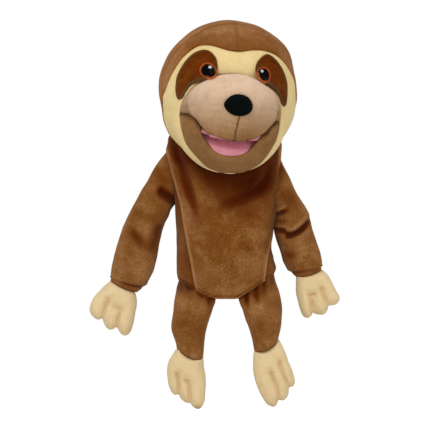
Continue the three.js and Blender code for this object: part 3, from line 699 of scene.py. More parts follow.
maskLoop = spline([
    (0, 42.6), (-8, 43.0), (-15, 44.4), (-22, 46.2), (-30, 47.0), (-38.5, 44.9), (-46.5, 38.7), (-53.3, 30.8),
    (-58.5, 21.5), (-62.6, 11.7), (-65.0, 2.0), (-67.0, -8.0), (-72, -20), (-92, -26), (-92, -120), (92, -120),
    (92, -22), (72, -12), (68, -3), (66.5, 6), (64.3, 17.5), (58, 28), (49.7, 36.6), (40, 42.5), (28.3, 45.4),
    (20, 45.3), (12, 44.2), (6, 43.0),
], 220, closed=True)
snoutLoop = spline([
    (-22.2, 16.7), (-33.6, 10.6), (-41.5, 4.6), (-47, -2.5), (-51.1, -11.1), (-53, -22), (-52, -32.7), (-48.8, -44.1),
    (-44.4, -53.8), (-38.1, -61.2), (-30, -68.6), (-20.6, -75.2), (-7, -79.0), (2.6, -79.1), (13.4, -77.9),
    (23.9, -74.0), (33, -67.5), (39.8, -57.0), (45.3, -44.6), (47.9, -34), (49, -23.5), (48.9, -11.6), (46.5, -5),
    (43.5, 0.8), (38.5, 5.3), (32.5, 9.0), (26.4, 12.0), (19.2, 15.8), (10.7, 19), (0.5, 20.4), (-11, 19.6),
], 200, closed=True)
muzzleEdge = spline([
    (-60, -20), (-53.5, -21.8), (-46.5, -24.5), (-40.1, -27.6), (-36.1, -32.4), (-31.3, -38.4), (-24.3, -42.8),
    (-14.5, -45.9), (-6.2, -47.7), (1.4, -48.1), (10.6, -47.1), (19.2, -44.8), (26, -41.4), (32.7, -36.4),
    (38.7, -29.4), (47.4, -24), (53, -22), (60, -20),
], 120)
lipEdge = spline([
    (-60, -16), (-53.5, -17.8), (-46.5, -20.5), (-40.1, -23.6), (-36.8, -28), (-34.2, -35.5), (-31.6, -42.4),
    (-28.6, -48.4), (-23.4, -55), (-15.1, -61.2), (-3.2, -63.6), (9.2, -62), (16.6, -57.8), (21.6, -51.8),
    (25.4, -45.4), (29.6, -38.4), (34, -31), (39.5, -25.4), (47.4, -20.5), (53, -18), (60, -16),
], 140)
domeLoop = spline([
    (-20, 24), (-33, 11), (-41, 3), (-45, -5), (-46, -11), (-45.4, -17), (-42.8, -23.5), (-39.5, -29), (-33, -40),
    (-20, -56), (0, -62), (20, -56), (33, -38), (38.4, -29), (41, -22.5), (42.6, -13), (41.6, -4), (38, 3.5),
    (31, 10), (19, 19), (0, 26),
], 120, closed=True)


def edgeHeight(edge, x):
    return np.interp(x, edge[:, 0], edge[:, 1])


def seamDepth(p):  # y of the seam over the head from cheek to cheek
    middle, above, below = headLook["crossSeam"]
    return middle + above * smoothStep((p[:, 2] - 10) / 55) + below * smoothStep((-2 - p[:, 2]) / 24)


def makeSkin(field, box, cell):
    points, quads = surfaceNet(field, *box, cell)
    return points, triangles(quads)


headSkin = makeSkin(headField, headLook["headBox"], headLook["cells"][0])
faceSkin = makeSkin(faceField, headLook["faceBox"], headLook["cells"][1])
print("head forms ready", len(headSkin[0]), len(faceSkin[0]))


def cutPanel(skin, tests):
    points, tris = skin
    for test in tests:
        points, tris = clip(points, tris, test(points))
    return points, tris


def skinLift(points, rim, seed, puff, sink, lumps, flat=None):  # how far a panel stands off, away from its seams
    away = distanceTo(points, rim)
    if flat is not None:  # and where a seam lies flat
        away = away + flat(points)
    swell, sag = headLook["reach"]
    size, fade = headLook["lumpSize"]
    lift = puff * (1 - np.exp(-away / swell)) - sink * bell(away, sag)
    return lift + lumps * ripple(points, size, seed) * smoothStep(away / fade)


skinTrees = {}  # finished skins, to set other pieces on


def finishPanel(name, panel, field, material, seed, puff=headLook["puff"], sink=headLook["sink"], extra=None,
                lumps=headLook["lumps"], flat=None, shadeAndPile=None):
    points, tris = panel
    normals = slopeOf(field, points)
    # the panel's painted shade and light
    streaksAndShade = None if shadeAndPile is None else shadeAndPile(points)
    lift = skinLift(points, rimPoints(points, tris), seed, puff, sink, lumps, flat)
    if extra is not None:
        lift = lift + extra(points)
    points = points + normals * lift[:, None]
    skinTrees[name] = BVHTree.FromPolygons(points.tolist(), tris.tolist())
    points, tris = turnedIn(points, tris, normals, headLook["turnIn"])
    return makePiece(name, headWorld(points), tris, material, streaksAndShade)


def landOn(name, field, x, z):  # points on a finished skin, met from the front, or on its field past its edge
    found = landFront(field, x, z)
    for n, (a, b) in enumerate(zip(x, z)):
        hit = skinTrees[name].ray_cast(Vector((a, -140, b)), Vector((0, 1, 0)))[0]
        if hit is not None:
            found[n] = tuple(hit)
    return found


def within(loop):  # the test that keeps what lies inside an outline
    return lambda p: distanceInside(loop, p[:, 0], p[:, 2])


insideMask = within(maskLoop)


def insideSnout(p):
    return np.where(p[:, 1] < headLook["snoutBack"], within(snoutLoop)(p), -40.0)


def aheadOfSeam(p):
    return seamDepth(p) - p[:, 1]


def aboveNeckCut(p):
    return p[:, 2] - headLook["neckCut"]


def throatSpan(p):  # the angles about the fold where the throat's cloth lies, from nothing at its top
    low, high, less = headLook["throatSpan"]
    narrow = less * smoothStep((p[:, 2] + 48) / 17)
    return low + narrow, high - narrow


def notThroat(p):  # the chin's cloth ends under the throat, and the cheeks' go on behind it
    low, high = throatSpan(p)
    outside = np.maximum(low - hingeAngle(p), np.minimum(hingeAngle(p) - high, p[:, 2] - headLook["neckCut"]))
    return np.where(p[:, 2] < headLook["hinge"][1] - 14, outside, 10.0)


def side(sign):
    return lambda p: sign * p[:, 0]


panelLook = {
    "cheek": 0.3,  # the cheeks' fullness
    "pull": 0.9,  # how far the corners of the mouth draw the face in
    "crownFlat": 6,  # how flat the seam down the middle of the crown lies
    # how dark the crown is painted: by the face, all over, at its middle seam, at the cross seam, and how light
    # it is painted on top and at the sides
    "crownShading": (0.30, 0.16, 0.16, 1.0, 0.35),
    "backPuff": 1.2,
    "backShading": (-0.25, 0.6),  # painted light above, painted shade down by the neck
    "throat": (-0.6, 0.6),  # puff and sink
}


def facePanelRelief(p):  # the cheeks' slight fullness, and the pull at the corners of the mouth
    full = panelLook["cheek"] * np.exp(-(((np.abs(p[:, 0]) - 57) / 9) ** 2 + ((p[:, 2] + 12) / 16) ** 2))
    pull = np.exp(-(((np.abs(p[:, 0] + 2) - 56) / 6) ** 2 + ((p[:, 2] + 21) / 2.2) ** 2))
    return full - panelLook["pull"] * pull


def crownSeam(p):  # the seam down the middle of the crown lies nearly flat
    return panelLook["crownFlat"] * bell(p[:, 0], 5) * smoothStep((p[:, 2] - 30) / 8)


def crownShading(p):  # darker by the face and at the cross seam as painted shade, darker at the middle seam, and lighter on top and at the sides as painted light
    nearFace = np.exp(-np.maximum(-insideMask(p), 0) / 7)
    seam = bell(np.abs(p[:, 0]) - 1.2, 0.8)
    beyond = bell(seamDepth(p) - p[:, 1], 2.6)
    light = np.maximum(smoothStep((p[:, 2] - 56) / 10), smoothStep((np.abs(p[:, 0]) - 40) / 20))
    byFace, allOver, atSeam, atCross, lighter = panelLook["crownShading"]
    return (byFace * nearFace + allOver) * (1 - light) + atSeam * seam + atCross * beyond - lighter * light


def backShading(p):
    above, deeper = panelLook["backShading"]
    return above + deeper * smoothStep((-20 - p[:, 2]) / 25)


def makeHead():
    faceCut = cutPanel(headSkin, [aheadOfSeam, insideMask, lambda p: -insideSnout(p), notThroat])
    faceSink = headLook["faceSink"]
    face = finishPanel("face_cloth", faceCut, headField, cream, headLook["faceSeed"], sink=faceSink,
                       extra=facePanelRelief)
    hoods = []
    for name, sign, seed in (("left", 1, 12), ("right", -1, 13)):
        hoodCut = cutPanel(headSkin, [aheadOfSeam, lambda p: -insideMask(p), side(sign)])
        hoods.append(finishPanel("hood_cloth_" + name, hoodCut, headField, crownPlush, seed, sink=faceSink,
                                 flat=crownSeam, shadeAndPile=crownShading))
    backCut = cutPanel(headSkin, [lambda p: -aheadOfSeam(p), aboveNeckCut])
    back = finishPanel("head_back_cloth", backCut, headField, crownPlush, 14, puff=panelLook["backPuff"], shadeAndPile=backShading)
    throatCut = cutPanel(headSkin, [
        lambda p: hingeAngle(p) - throatSpan(p)[0] + 2,
        lambda p: throatSpan(p)[1] + 2 - hingeAngle(p),
        lambda p: headLook["hinge"][1] - 13 - p[:, 2],
    ])
    puff, sink = panelLook["throat"]
    throat = finishPanel("throat_cloth", throatCut, headField, cream, 15, puff=puff, sink=sink)
    return face, hoods, back, throat, rimPoints(*faceCut)


muzzleLook = {
    "seam": ((21, 1.6), (31, 0.8), (39, -0.4), (48, 0.3)),  # x of the stitched line below the nose, further down
    "sink": 1.1,
    "line": 0.7,  # how deep the stitched line lies
    "beside": 0.5,  # how full the cloth is beside it
    "wrinkle": 0.4,
    "groove": 2.6,  # how far the cloth falls back beside the full middle
    "fold": 0.9,  # depth of the crease at the corners of the mouth
    "hollow": 0.42,  # how dark the painted shade in the hollows is
    "lumps": 0.3,
}
lipLook = {
    "puff": 1.2,
    "tuck": (2.2, 0.8),  # how far the ends go in close under the muzzle, and below that
    "full": 3.8,  # fullness just inside the corners
    "dark": 0.85,  # how dark the painted shade under the muzzle is
    "lumps": 0.3,
}


def noseSeam(z):
    return ease(-z, muzzleLook["seam"])


def muzzleRelief(p):
    x, z = p[:, 0], p[:, 2]
    line = bell(x - noseSeam(z), 1.3) * smoothStep((-18 - z) / 5)
    beside = bell(np.abs(x - noseSeam(z)) - 6, 5) * smoothStep((-18 - z) / 8)
    around = np.hypot(x, (z + 11) * 1.25)
    wrinkle = np.sin(z * 0.9 + 1.5 * np.sin(x * 0.11 + 0.7))
    wrinkle = wrinkle * bell(around - 26, 8) * smoothStep((-8 - z) / 6)
    beyond = -distanceInside(domeLoop, x, z)  # the cloth falls back beside the full middle
    groove = smoothStep(beyond / 3) * smoothStep(distanceInside(snoutLoop, x, z) / 5) * smoothStep((10 - z) / 10)
    fold = bell(z + 16 + 0.35 * (np.abs(x) - 46), 1.3) * smoothStep((np.abs(x) - 39) / 4)
    lift = -muzzleLook["line"] * line + muzzleLook["beside"] * beside + muzzleLook["wrinkle"] * wrinkle
    return lift - muzzleLook["groove"] * groove - muzzleLook["fold"] * fold


def muzzleShading(p):  # painted shade in the hollows beside the full middle and at the corners of the mouth
    x, z = p[:, 0], p[:, 2]
    beyond = smoothStep((1.5 - distanceInside(domeLoop, x, z)) / 3) * smoothStep((8 - z) / 8)
    return muzzleLook["hollow"] * beyond * (0.5 + 0.5 * smoothStep((-6 - z) / 14))


def lipRelief(p):  # the lip's ends tuck in under the muzzle
    x, z = p[:, 0], p[:, 2]
    below = edgeHeight(muzzleEdge, x) - z
    ends = smoothStep((np.abs(x + 3) - 27) / 6)
    full = np.exp(-((np.abs(x + 1) - 33) / 9) ** 2 - ((z + 40.5) / 7) ** 2)
    close, lower = lipLook["tuck"]
    tucked = -close * ends * smoothStep((3.5 - below) / 5) - lower * ends * smoothStep((12 - below) / 10)
    return tucked + lipLook["full"] * full


def lipShading(p):  # painted shade just under the muzzle, at the lip's ends
    x, z = p[:, 0], p[:, 2]
    below = edgeHeight(muzzleEdge, x) - z
    return lipLook["dark"] * smoothStep((np.abs(x + 3) - 29) / 6) * bell(np.maximum(below, 0), 2.6)


def makeSnout():
    muzzleCut = cutPanel(faceSkin, [insideSnout, lambda p: p[:, 2] - edgeHeight(muzzleEdge, p[:, 0])])
    muzzle = finishPanel("muzzle_cloth", muzzleCut, faceField, muzzleCloth, 21, sink=muzzleLook["sink"],
                         extra=muzzleRelief, lumps=muzzleLook["lumps"], shadeAndPile=muzzleShading)
    lipCut = cutPanel(headSkin, [insideSnout, lambda p: edgeHeight(lipEdge, p[:, 0]) - p[:, 2]])
    lip = finishPanel("lower_lip_cloth", lipCut, headField, jawCloth, 22, puff=lipLook["puff"], extra=lipRelief,
                      lumps=lipLook["lumps"], shadeAndPile=lipShading)
    return muzzle, lip


faceCloth, hoodCloths, backCloth, throatCloth, faceRim = makeHead()
muzzlePiece, lipPiece = makeSnout()
print("head skins ready")

# Linings of the mouth, from the edge of the cloth back to the fold

mouthLook = {
    "tongue": {
        "ends": (-35.5, 32.5),  # from corner to corner
        "slope": 46,  # degrees down from straight ahead
        "seed": 31,
        "rim": 1.0,  # how far the front edge rolls up
        "bulge": 4.6,  # how full the tongue is
        "rest": 0.7,  # how far the lining lies off the plane through the fold
        "board": "tongue_board",
        "under": -1,  # which way the cloth that holds its front lies
    },
    "roof": {
        "ends": (-38.0, 36.0),
        "slope": 31,
        "seed": 32,
        "rim": -0.2,
        "bulge": 0.0,
        "rest": 0.9,
        "board": "roof_board",
        "under": 1,
    },
    "spread": 0.34,  # how much wider a lining is at the fold
    "behind": 1.6,  # how far its front edge lies behind the skin
    "corner": (6, 1.2),  # how far the roof's corners go back and up
    "held": (1.8, 0.6),  # how far under its edge the skin is met, and how far under it the lining ends
    "clear": (1.2, 1.5),  # where it leaves its board: how far past the board, and at least how far behind the skin
    "lumps": (0.25, 14),  # height and size
    "rows": 34,
    "steps": 80,
    "foldHalf": 48,
    "foldRadius": 2.7,
    "foldSteps": 60,
}


def fromFold(slope, along, n):  # y and z at a distance along a plane through the fold, and off it
    y, z = headLook["hinge"]
    turned = math.radians(slope)
    return (y - math.cos(turned) * along - math.sin(turned) * n, z - math.sin(turned) * along + math.cos(turned) * n)


def aheadOfFold(slope, points):  # the same two distances, of points in the head's frame
    y, z = headLook["hinge"]
    turned = math.radians(slope)
    ahead = -(points[:, 1] - y) * math.cos(turned) - (points[:, 2] - z) * math.sin(turned)
    off = -(points[:, 1] - y) * math.sin(turned) + (points[:, 2] - z) * math.cos(turned)
    return ahead, off


def boardReach(name, slope, xs):  # how far forward a board goes at each x
    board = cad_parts[name]
    points = np.array([tuple(board.matrix_world @ vertex.co) for vertex in board.data.vertices]) / metre
    local = (points - np.array(headLook["place"])) @ headTurn
    along = aheadOfFold(slope, local)[0]
    return np.array([along[np.abs(local[:, 0] - x) < 5].max(initial=10.0) for x in xs])


def frontRow(look, cloth, field, edge, xs):  # where a lining meets the skin, a little behind its edge
    heights = edgeHeight(edge, xs)
    met, ending = mouthLook["held"]
    front = landOn(cloth, field, xs, heights + met * look["under"])
    smoothed = np.convolve(np.pad(front[:, 1], 4, mode="edge"), np.ones(9) / 9, mode="valid")
    front[:, 1] = smoothed + mouthLook["behind"]
    front[:, 2] = heights + ending * look["under"]
    if look["under"] > 0:  # its corners stay behind the lip
        back, up = mouthLook["corner"]
        atCorner = smoothStep((np.abs(xs + 1.5) - 25) / 6)
        front[:, 1] += back * atCorner
        front[:, 2] += up * atCorner
    return front


def liningSheet(name, look, cloth, field, edge):
    xs = np.linspace(look["ends"][0], look["ends"][1], mouthLook["steps"])
    ahead, off = aheadOfFold(look["slope"], frontRow(look, cloth, field, edge, xs))
    past, short = mouthLook["clear"]
    stop = np.minimum(boardReach(look["board"], look["slope"], xs) + past, ahead - short)
    rim = look["rim"]
    rows = []
    for s in np.linspace(0, 1, mouthLook["rows"]):
        along = ahead * (1 - s)
        close = np.clip((along - stop) / (ahead - stop), 0, 1)  # the lining leaves its board near the front
        swell = look["bulge"] * math.sin(math.pi * s ** 0.62) * (1 - 0.8 * smoothStep((np.abs(xs) - 18) / 16))
        n = (look["rest"] * (1 - s) + swell) * (1 - close) + off * close
        y, z = fromFold(look["slope"], along, n)
        z = z + rim * math.exp(-((s - 0.06) / 0.05) ** 2)
        y = y - abs(rim) * 0.6 * math.exp(-((s - 0.03) / 0.04) ** 2)
        rows.append(np.stack([xs * (1 + mouthLook["spread"] * s), y, z], 1))
    points = np.concatenate(rows)
    height, size = mouthLook["lumps"]
    points[:, 2] += height * ripple(points, size, look["seed"])
    count = len(xs)
    faces = []
    for r in range(len(rows) - 1):
        for i in range(count - 1):
            a = r * count + i
            faces.append([a, a + 1, a + 1 + count, a + count])
    if rim < 0:
        faces = [face[::-1] for face in faces]
    return makePiece(name, headWorld(points), faces, pinkCloth)


tonguePiece = liningSheet("tongue_cloth", mouthLook["tongue"], "lower_lip_cloth", headField, lipEdge)
roofPiece = liningSheet("roof_cloth", mouthLook["roof"], "muzzle_cloth", faceField, muzzleEdge)


def makeFold():
    half, steps = mouthLook["foldHalf"], mouthLook["foldSteps"]
    xs = np.linspace(-half, half, steps)
    y, z = headLook["hinge"]
    path = np.stack([xs, y + 0.5 + 0.3 * np.sin(xs / 5), np.full(steps, z)], 1)
    points, faces = tube(path, mouthLook["foldRadius"], 14)
    return makePiece("fold_cloth", headWorld(points), faces, pinkCloth)


foldPiece = makeFold()
print("mouth linings ready")

# Eyes: appliqued patches with satin-stitched borders, rings, pupils and glints

eyeLook = {
    "leftPatch": [
        (-29.8, 41.2), (-23.5, 37.8), (-19.6, 31.0), (-19.6, 23.2), (-24.0, 16.6), (-30.6, 12.2), (-38.0, 9.4),
        (-43.9, 5.6), (-48.0, -1.5), (-50.6, -8.0), (-53.2, -9.4), (-55.2, -4.5), (-56.2, 4.0), (-55.6, 12.5),
        (-53.1, 20.5), (-49.3, 28.0), (-44.2, 34.2), (-37.5, 39.4),
    ],
    "rightPatch": [
        (30.9, 41.4), (24.3, 37.4), (19.6, 30.6), (19.3, 23.0), (22.5, 16.4), (28.0, 12.2), (34.0, 9.6), (39.8, 6.8),
        (45.6, 0.6), (48.7, -7.2), (51.2, -9.2), (53.2, -5.0), (54.0, 4.8), (52.8, 14.8), (49.4, 24.0), (45.0, 31.4),
        (38.6, 38.0),
    ],
    "leftEye": (-27.9, 20.2),
    "rightEye": (26.8, 20.0),
    "ring": (7.8, 8.4),
    "ringWidth": 1.3,
    "pupil": (5.8, 6.4),
    "leftGlint": (-25.7, 23.5),
    "rightGlint": (24.8, 23.0),
    "glint": 1.7,
    "border": 1.9,  # width of the satin stitch
    "room": (11, 12),  # half width and height of the finer mesh round the eye
    "depths": ((-76, -26), (-74, -44)),  # y that the two meshes reach from and to
    "tuck": 0.6,  # share of the satin stitch that lies on the patch's cloth
    "wall": 0.7,  # how far below the face the pieces' edges go
    "cells": (0.9, 0.5),  # mesh sizes of the patch and of the eye on it
    # how thick each piece is, how far it starts above the face, and the radius over which its edge curves in
    "cloth": (0.5, 0.5, 1.2),
    "satin": (0.7, 0.75, 0.9),
    "iris": (0.6, 1.1, 0.9),
    "disc": (0.7, 1.1, 2.2),
    "spot": (0.5, 1.9, 0.8),
}


def ovalLoop(middle, half, steps=48):
    angle = ringAngles(steps)
    return np.stack([middle[0] + half[0] * np.cos(angle), middle[1] + half[1] * np.sin(angle)], 1)


def stitched(name, skin, tests, thickness, material):  # a thin stitched-on piece that follows the puffed face
    height, base, curve = thickness
    points, tris = cutPanel(skin, tests)
    normals = slopeOf(faceField, points)
    away = distanceTo(points, rimPoints(points, tris))
    face = skinLift(points, faceRim, headLook["faceSeed"], headLook["puff"], headLook["faceSink"], headLook["lumps"])
    under = np.maximum(face + facePanelRelief(points), 0)
    lift = under + base + height * np.sqrt(np.clip(1 - (1 - np.minimum(away / curve, 1)) ** 2, 0, 1))
    points = points + normals * lift[:, None]
    points, tris = turnedIn(points, tris, normals, base + eyeLook["wall"])
    return makePiece(name, headWorld(points), tris, material)


def makeEye(name):
    loop = spline(eyeLook[name + "Patch"], 120, closed=True)
    middle = eyeLook[name + "Eye"]
    half = np.array(eyeLook["room"])
    rooms = ((loop.min(0) - 3, loop.max(0) + 3), (middle - half, middle + half))
    skin, fineSkin = (
        makeSkin(faceField, ((low[0], near, low[1]), (high[0], far, high[1])), cell)
        for (low, high), (near, far), cell in zip(rooms, eyeLook["depths"], eyeLook["cells"]))
    border = eyeLook["border"]
    own = "left" if name == "right" else "right"  # the puppet's own side
    inPatch = within(loop)
    inCloth, inBorder = (lambda p: inPatch(p) - border * eyeLook["tuck"]), (lambda p: border - inPatch(p))
    cloth = stitched("eye_cloth_" + own, skin, [inCloth], eyeLook["cloth"], patchCloth)
    rim = stitched("eye_border_" + own, skin, [inPatch, inBorder], eyeLook["satin"], borderThread)
    inner = (eyeLook["ring"][0] - eyeLook["ringWidth"], eyeLook["ring"][1] - eyeLook["ringWidth"])
    outRing, inRing, inPupil = (within(ovalLoop(middle, half)) for half in (eyeLook["ring"], inner, eyeLook["pupil"]))
    ring = stitched("iris_ring_" + own, fineSkin, [outRing, lambda p: -inRing(p)], eyeLook["iris"], irisThread)
    pupil = stitched("pupil_disc_" + own, fineSkin, [inPupil], eyeLook["disc"], pupilThread)
    inSpot = within(ovalLoop(eyeLook[name + "Glint"], (eyeLook["glint"], eyeLook["glint"]), 24))
    dot = stitched("glint_spot_" + own, fineSkin, [inSpot], eyeLook["spot"], glintThread)
    return {"patch": cloth, "border": rim, "ring": ring, "pupil": pupil, "glint": dot}


eyes = {"right": makeEye("left"), "left": makeEye("right")}
print("eyes ready")

# Nose: a padded oval, flatter on top and pointed below

noseLook = {
    "loop": [
        (0.0, -0.9), (5.8, -1.7), (10.4, -4.4), (13.4, -8.4), (14.6, -12.6), (13.6, -16.8), (10.2, -20.2), (5.4, -22.2),
        (0.6, -22.7), (-4.2, -22.1), (-8.8, -20.1), (-12.6, -16.6), (-14.8, -12.2), (-13.2, -8.1), (-9.8, -4.2),
        (-5.4, -1.7),
    ],
    "middle": (0.2, -10.8),
    "height": 7.5,
    "stand": 0.4,  # how far its edge stands off the muzzle
    "roundness": 2.4,  # the more, the fuller up to its edge
    "underEdge": 1.2,  # how far each ring past the widest goes in
    "shares": (0, 0.14, 0.28, 0.42, 0.55, 0.67, 0.77, 0.86, 0.93, 0.98, 1.0, 0.97, 0.9),  # rings out and turned in
    "stitch": (-20.5, -46.8),  # top and bottom of the stitched line below it
    "thread": 0.55,
}


def makeNose():
    loop = spline(noseLook["loop"], 64, closed=True)
    middle = np.array(noseLook["middle"])
    widest = noseLook["shares"].index(1.0)
    rows = []
    for n, share in enumerate(noseLook["shares"]):
        flat = middle + (loop - middle) * share
        p = landFront(faceField, flat[:, 0], flat[:, 1])
        rise = noseLook["height"] * math.sqrt(max(1 - share ** noseLook["roundness"], 0))
        if n > widest:
            rise = -noseLook["underEdge"] * (n - widest)
        p[:, 1] -= rise + noseLook["stand"]
        rows.append(p)
    points = np.concatenate(rows)
    faces = outward(points, loftFaces(len(rows), len(loop)))
    return makePiece("nose_cloth", headWorld(points), faces, noseCloth)


nosePiece = makeNose()


def makeNoseStitch():
    zs = np.linspace(*noseLook["stitch"], 30)
    p = landOn("muzzle_cloth", faceField, noseSeam(zs), zs)
    p[:, 1] += 0.05  # sunk a little into the cloth
    points, faces = tube(p, noseLook["thread"], 8)
    return makePiece("nose_stitch", headWorld(points), faces, seamThread)


stitchPiece = makeNoseStitch()
print("nose ready")

# Body glove

bodyLook = {
    # by height: half width, the middle's x, and how far the front and the back stand out
    "wide": ((0, 48.0), (22, 48.6), (31, 49.4), (41, 48.2), (50, 47.2), (62, 47.6), (95, 50.5), (125, 53.5),
             (150, 57.0), (160, 56.0), (172, 49.0)),
    "shift": ((0, -1.0), (22, -1.2), (31, -0.8), (41, -2.2), (50, -3.0), (90, -1.5), (146, -3.0)),
    "front": ((0, 37), (45, 41), (112, 27), (135, 28), (172, 30)),
    "back": ((0, 31), (45, 35), (146, 35), (172, 32)),
    "square": 2.6,
    # x of the side seams by height, and height of the hem and of the chin's shadow by x
    "leftSeam": ((0, -30), (20, -34.2), (35, -36.5), (52, -40), (74, -44), (95, -47.4), (115, -52.6), (135, -58.3),
                 (160, -64)),
    "rightSeam": ((0, 37), (24, 39.3), (35, 40.4), (50, 42.7), (69, 46.8), (90, 49.6), (113, 52.5), (136, 53.6),
                  (160, 55)),
    "hem": ((-60, 24), (-49, 19), (-44, 15.5), (-27, 5.4), (-16, 1.2), (-10, 0), (10, 0), (21, 6.5), (42, 21),
            (47, 24), (60, 28)),
    "neck": (132.0, 34.0, 155.0),  # top edge below the chin, its rise at the sides, and the back's top edge
    "chin": ((-60, 158), (-49, 149), (-37, 141), (-22, 132.5), (-7, 127.5), (8, 126), (23, 128), (35, 135), (48, 147)),
    # creases as seen from the front: the x and z of their path, half width, depth, painted shade, how far the top
    # overhangs
    "creases": (
        (((-56, 166), (-49.5, 146), (-44, 131), (-41.5, 119), (-36.5, 104), (-30.5, 88), (-25, 62)), 7.5, 2.0, 1.1, 0),
        (((-12, 90), (8, 97), (22, 105), (34, 115), (43, 130), (50, 156)), 8, 2.4, 1.0, 0),
        (((24, 106), (38, 116), (48, 128), (54, 144)), 13, 0.0, 0.8, 0),
        (((-55, 170), (-50, 154), (-47, 136)), 6, 0.4, 0.8, 0),
        (((-24, 66), (-6, 48), (8, 30)), 14, 0.9, 0.25, 0),
        (((8, 92), (20, 84), (34, 74)), 11, 1.0, 0.30, 0),
        (((10, 58), (20, 50), (26, 40)), 9, 0.8, 0.40, 0),
    ),
    "hemStitch": (2.4, 0.8),  # height of the stitched line above the hem, and its half width
    "ridge": (1.4, 1.3),  # distance of the raised seam allowance from the side seam, and its half width
    "raised": (1.3, 0.6),  # how high it stands, and how deep the hem's stitched line lies
    "swell": (6, 1.6),  # how far from a seam a panel swells, and how far it sinks
    "facing": 11,  # height of the turned-up hem
    # what each cloth is cut from: lowest and highest z, how far outside the glove it lies, rings and sides
    "outerTube": (-2, 168, 0, 104, 190),
    "facingTube": (-2, 40, -2.6, 30, 140),
    "liningTube": (4, 166, -6.6, 64, 120),
    "neckTube": (100, 172, -0.7, 44, 140),
    "liningEnds": (9.5, 1),  # how far above the hem it starts, and how far below the neck's seam it ends
    "neckLap": 1.2,  # how far the neck's cloth goes down inside the panels
    "chinShade": (7, 16, 0.95),  # its reach at the viewer's left, how much more elsewhere, and how dark it is
    "lowLight": 0.12,  # how much lighter the cloth is painted towards the hem
    "armShade": 0.35,  # how dark it lies behind the side seams
    "lumps": ((42, 14), (15, 8, 0.35)),  # size and fade of the broad lumps, and size, fade and height of the small
    "napPatches": (0.14, 30),  # how uneven the nap is, and the size of its patches
    "napLimit": 1.25,
}


def alongPath(path, x, z):  # distance to a path, share of the way along it, and 1 above it or -1 below
    best, above, along = np.full(len(x), 1e9), np.ones(len(x)), np.zeros(len(x))
    for n, ((ax, az), (bx, bz)) in enumerate(zip(path, path[1:])):
        ex, ez = bx - ax, bz - az
        near = np.clip(((x - ax) * ex + (z - az) * ez) / (ex * ex + ez * ez), 0, 1)
        away = np.hypot(x - ax - near * ex, z - az - near * ez)
        closer = away < best
        above = np.where(closer, np.where(ex * (z - az) - ez * (x - ax) > 0, 1, -1), above)
        along = np.where(closer, (n + near) / (len(path) - 1), along)
        best = np.minimum(best, away)
    return best, along, above


def foldsOf(points, creases, front=-1, y0=0.0):  # how far the folds lift the cloth, and the shade and light painted on them
    x, z = points[:, 0], points[:, 2]
    lift, shade = np.zeros(len(points)), np.zeros(len(points))
    ahead = smoothStep((front * (points[:, 1] - y0) + 2) / 10)
    for path, half, deep, dark, over in creases:
        best, along, above = alongPath(spline(path, 24), x, z)
        fade = smoothStep(along / 0.25) * smoothStep((1 - along) / 0.45)
        reach = best * above
        low = bell(reach + 0.3 * over * half, 0.5 * half)
        high = bell(best - half * 1.1, 0.5 * half) * np.where(above < 0, 1 - over, 1 + over)
        lift += fade * deep * (0.45 * high - low)
        # painted shade in the fold, and painted light on its overhanging top
        shade += fade * dark * (bell(reach + 0.5 * over * half, 0.75 * half) - 0.3 * over * high)
    return lift * ahead, shade * ahead


def bodyPoint(z, angle, grow):
    wide = ease(z, bodyLook["wide"]) + grow
    x = ease(z, bodyLook["shift"]) + wide * rounded(np.cos(angle), bodyLook["square"])
    across = rounded(np.sin(angle), bodyLook["square"])
    front, back = ease(z, bodyLook["front"]) + grow, ease(z, bodyLook["back"]) + grow
    return np.stack([x, across * np.where(across < 0, front, back), z], -1)


def bodyTube(low, high, grow, rings, sides):
    angle = ringAngles(sides)
    angle = angle - 0.22 * np.sin(2 * angle)  # closer together at the sides
    z, a = np.meshgrid(np.linspace(low, high, rings), angle, indexing="ij")
    points = bodyPoint(z.ravel(), a.ravel(), grow)
    quads = np.array(loftFaces(rings, sides, False, False))
    return points, triangles(quads)


def bodyNormals(points):
    middle = np.stack([ease(points[:, 2], bodyLook["shift"]), np.zeros(len(points))], 1)
    q = points[:, :2] - middle
    wide = ease(points[:, 2], bodyLook["wide"])
    deep = np.where(q[:, 1] < 0, ease(points[:, 2], bodyLook["front"]), ease(points[:, 2], bodyLook["back"]))
    nx = rounded(q[:, 0] / wide, 2 / (bodyLook["square"] - 1)) / wide
    ny = rounded(q[:, 1] / deep, 2 / (bodyLook["square"] - 1)) / deep
    length = np.maximum(np.hypot(nx, ny), 1e-9)
    return np.stack([nx / length, ny / length, np.zeros(len(points))], 1)


def aboveHem(p):
    return p[:, 2] - between(p[:, 0], bodyLook["hem"])


def belowNeckSeam(p):
    chin, rise, back = bodyLook["neck"]
    top = chin + rise * smoothStep((np.abs(p[:, 0] + 2) - 22) / 24)
    return np.maximum(top, chin + (back - chin) * smoothStep((p[:, 1] + 5) / 20)) - p[:, 2]


def inFrontPanel(p):
    left, right = between(p[:, 2], bodyLook["leftSeam"]), between(p[:, 2], bodyLook["rightSeam"])
    return np.where(p[:, 1] < 0, np.minimum(p[:, 0] - left, right - p[:, 0]), -30.0)


def underHead(p):  # painted shadow below the chin, reaching further down at the middle than at the sides
    below = np.maximum(between(p[:, 0], bodyLook["chin"]) - p[:, 2], 0)
    least, more, dark = bodyLook["chinShade"]
    reach = least + more * smoothStep((p[:, 0] + 36) / 20)
    front = np.exp(-(below / reach) ** 1.4)
    behind = smoothStep((p[:, 2] - 110) / 30)
    shade = dark * np.where(p[:, 1] < 0, front, behind)
    return shade - bodyLook["lowLight"] * smoothStep((60 - p[:, 2]) / 40)


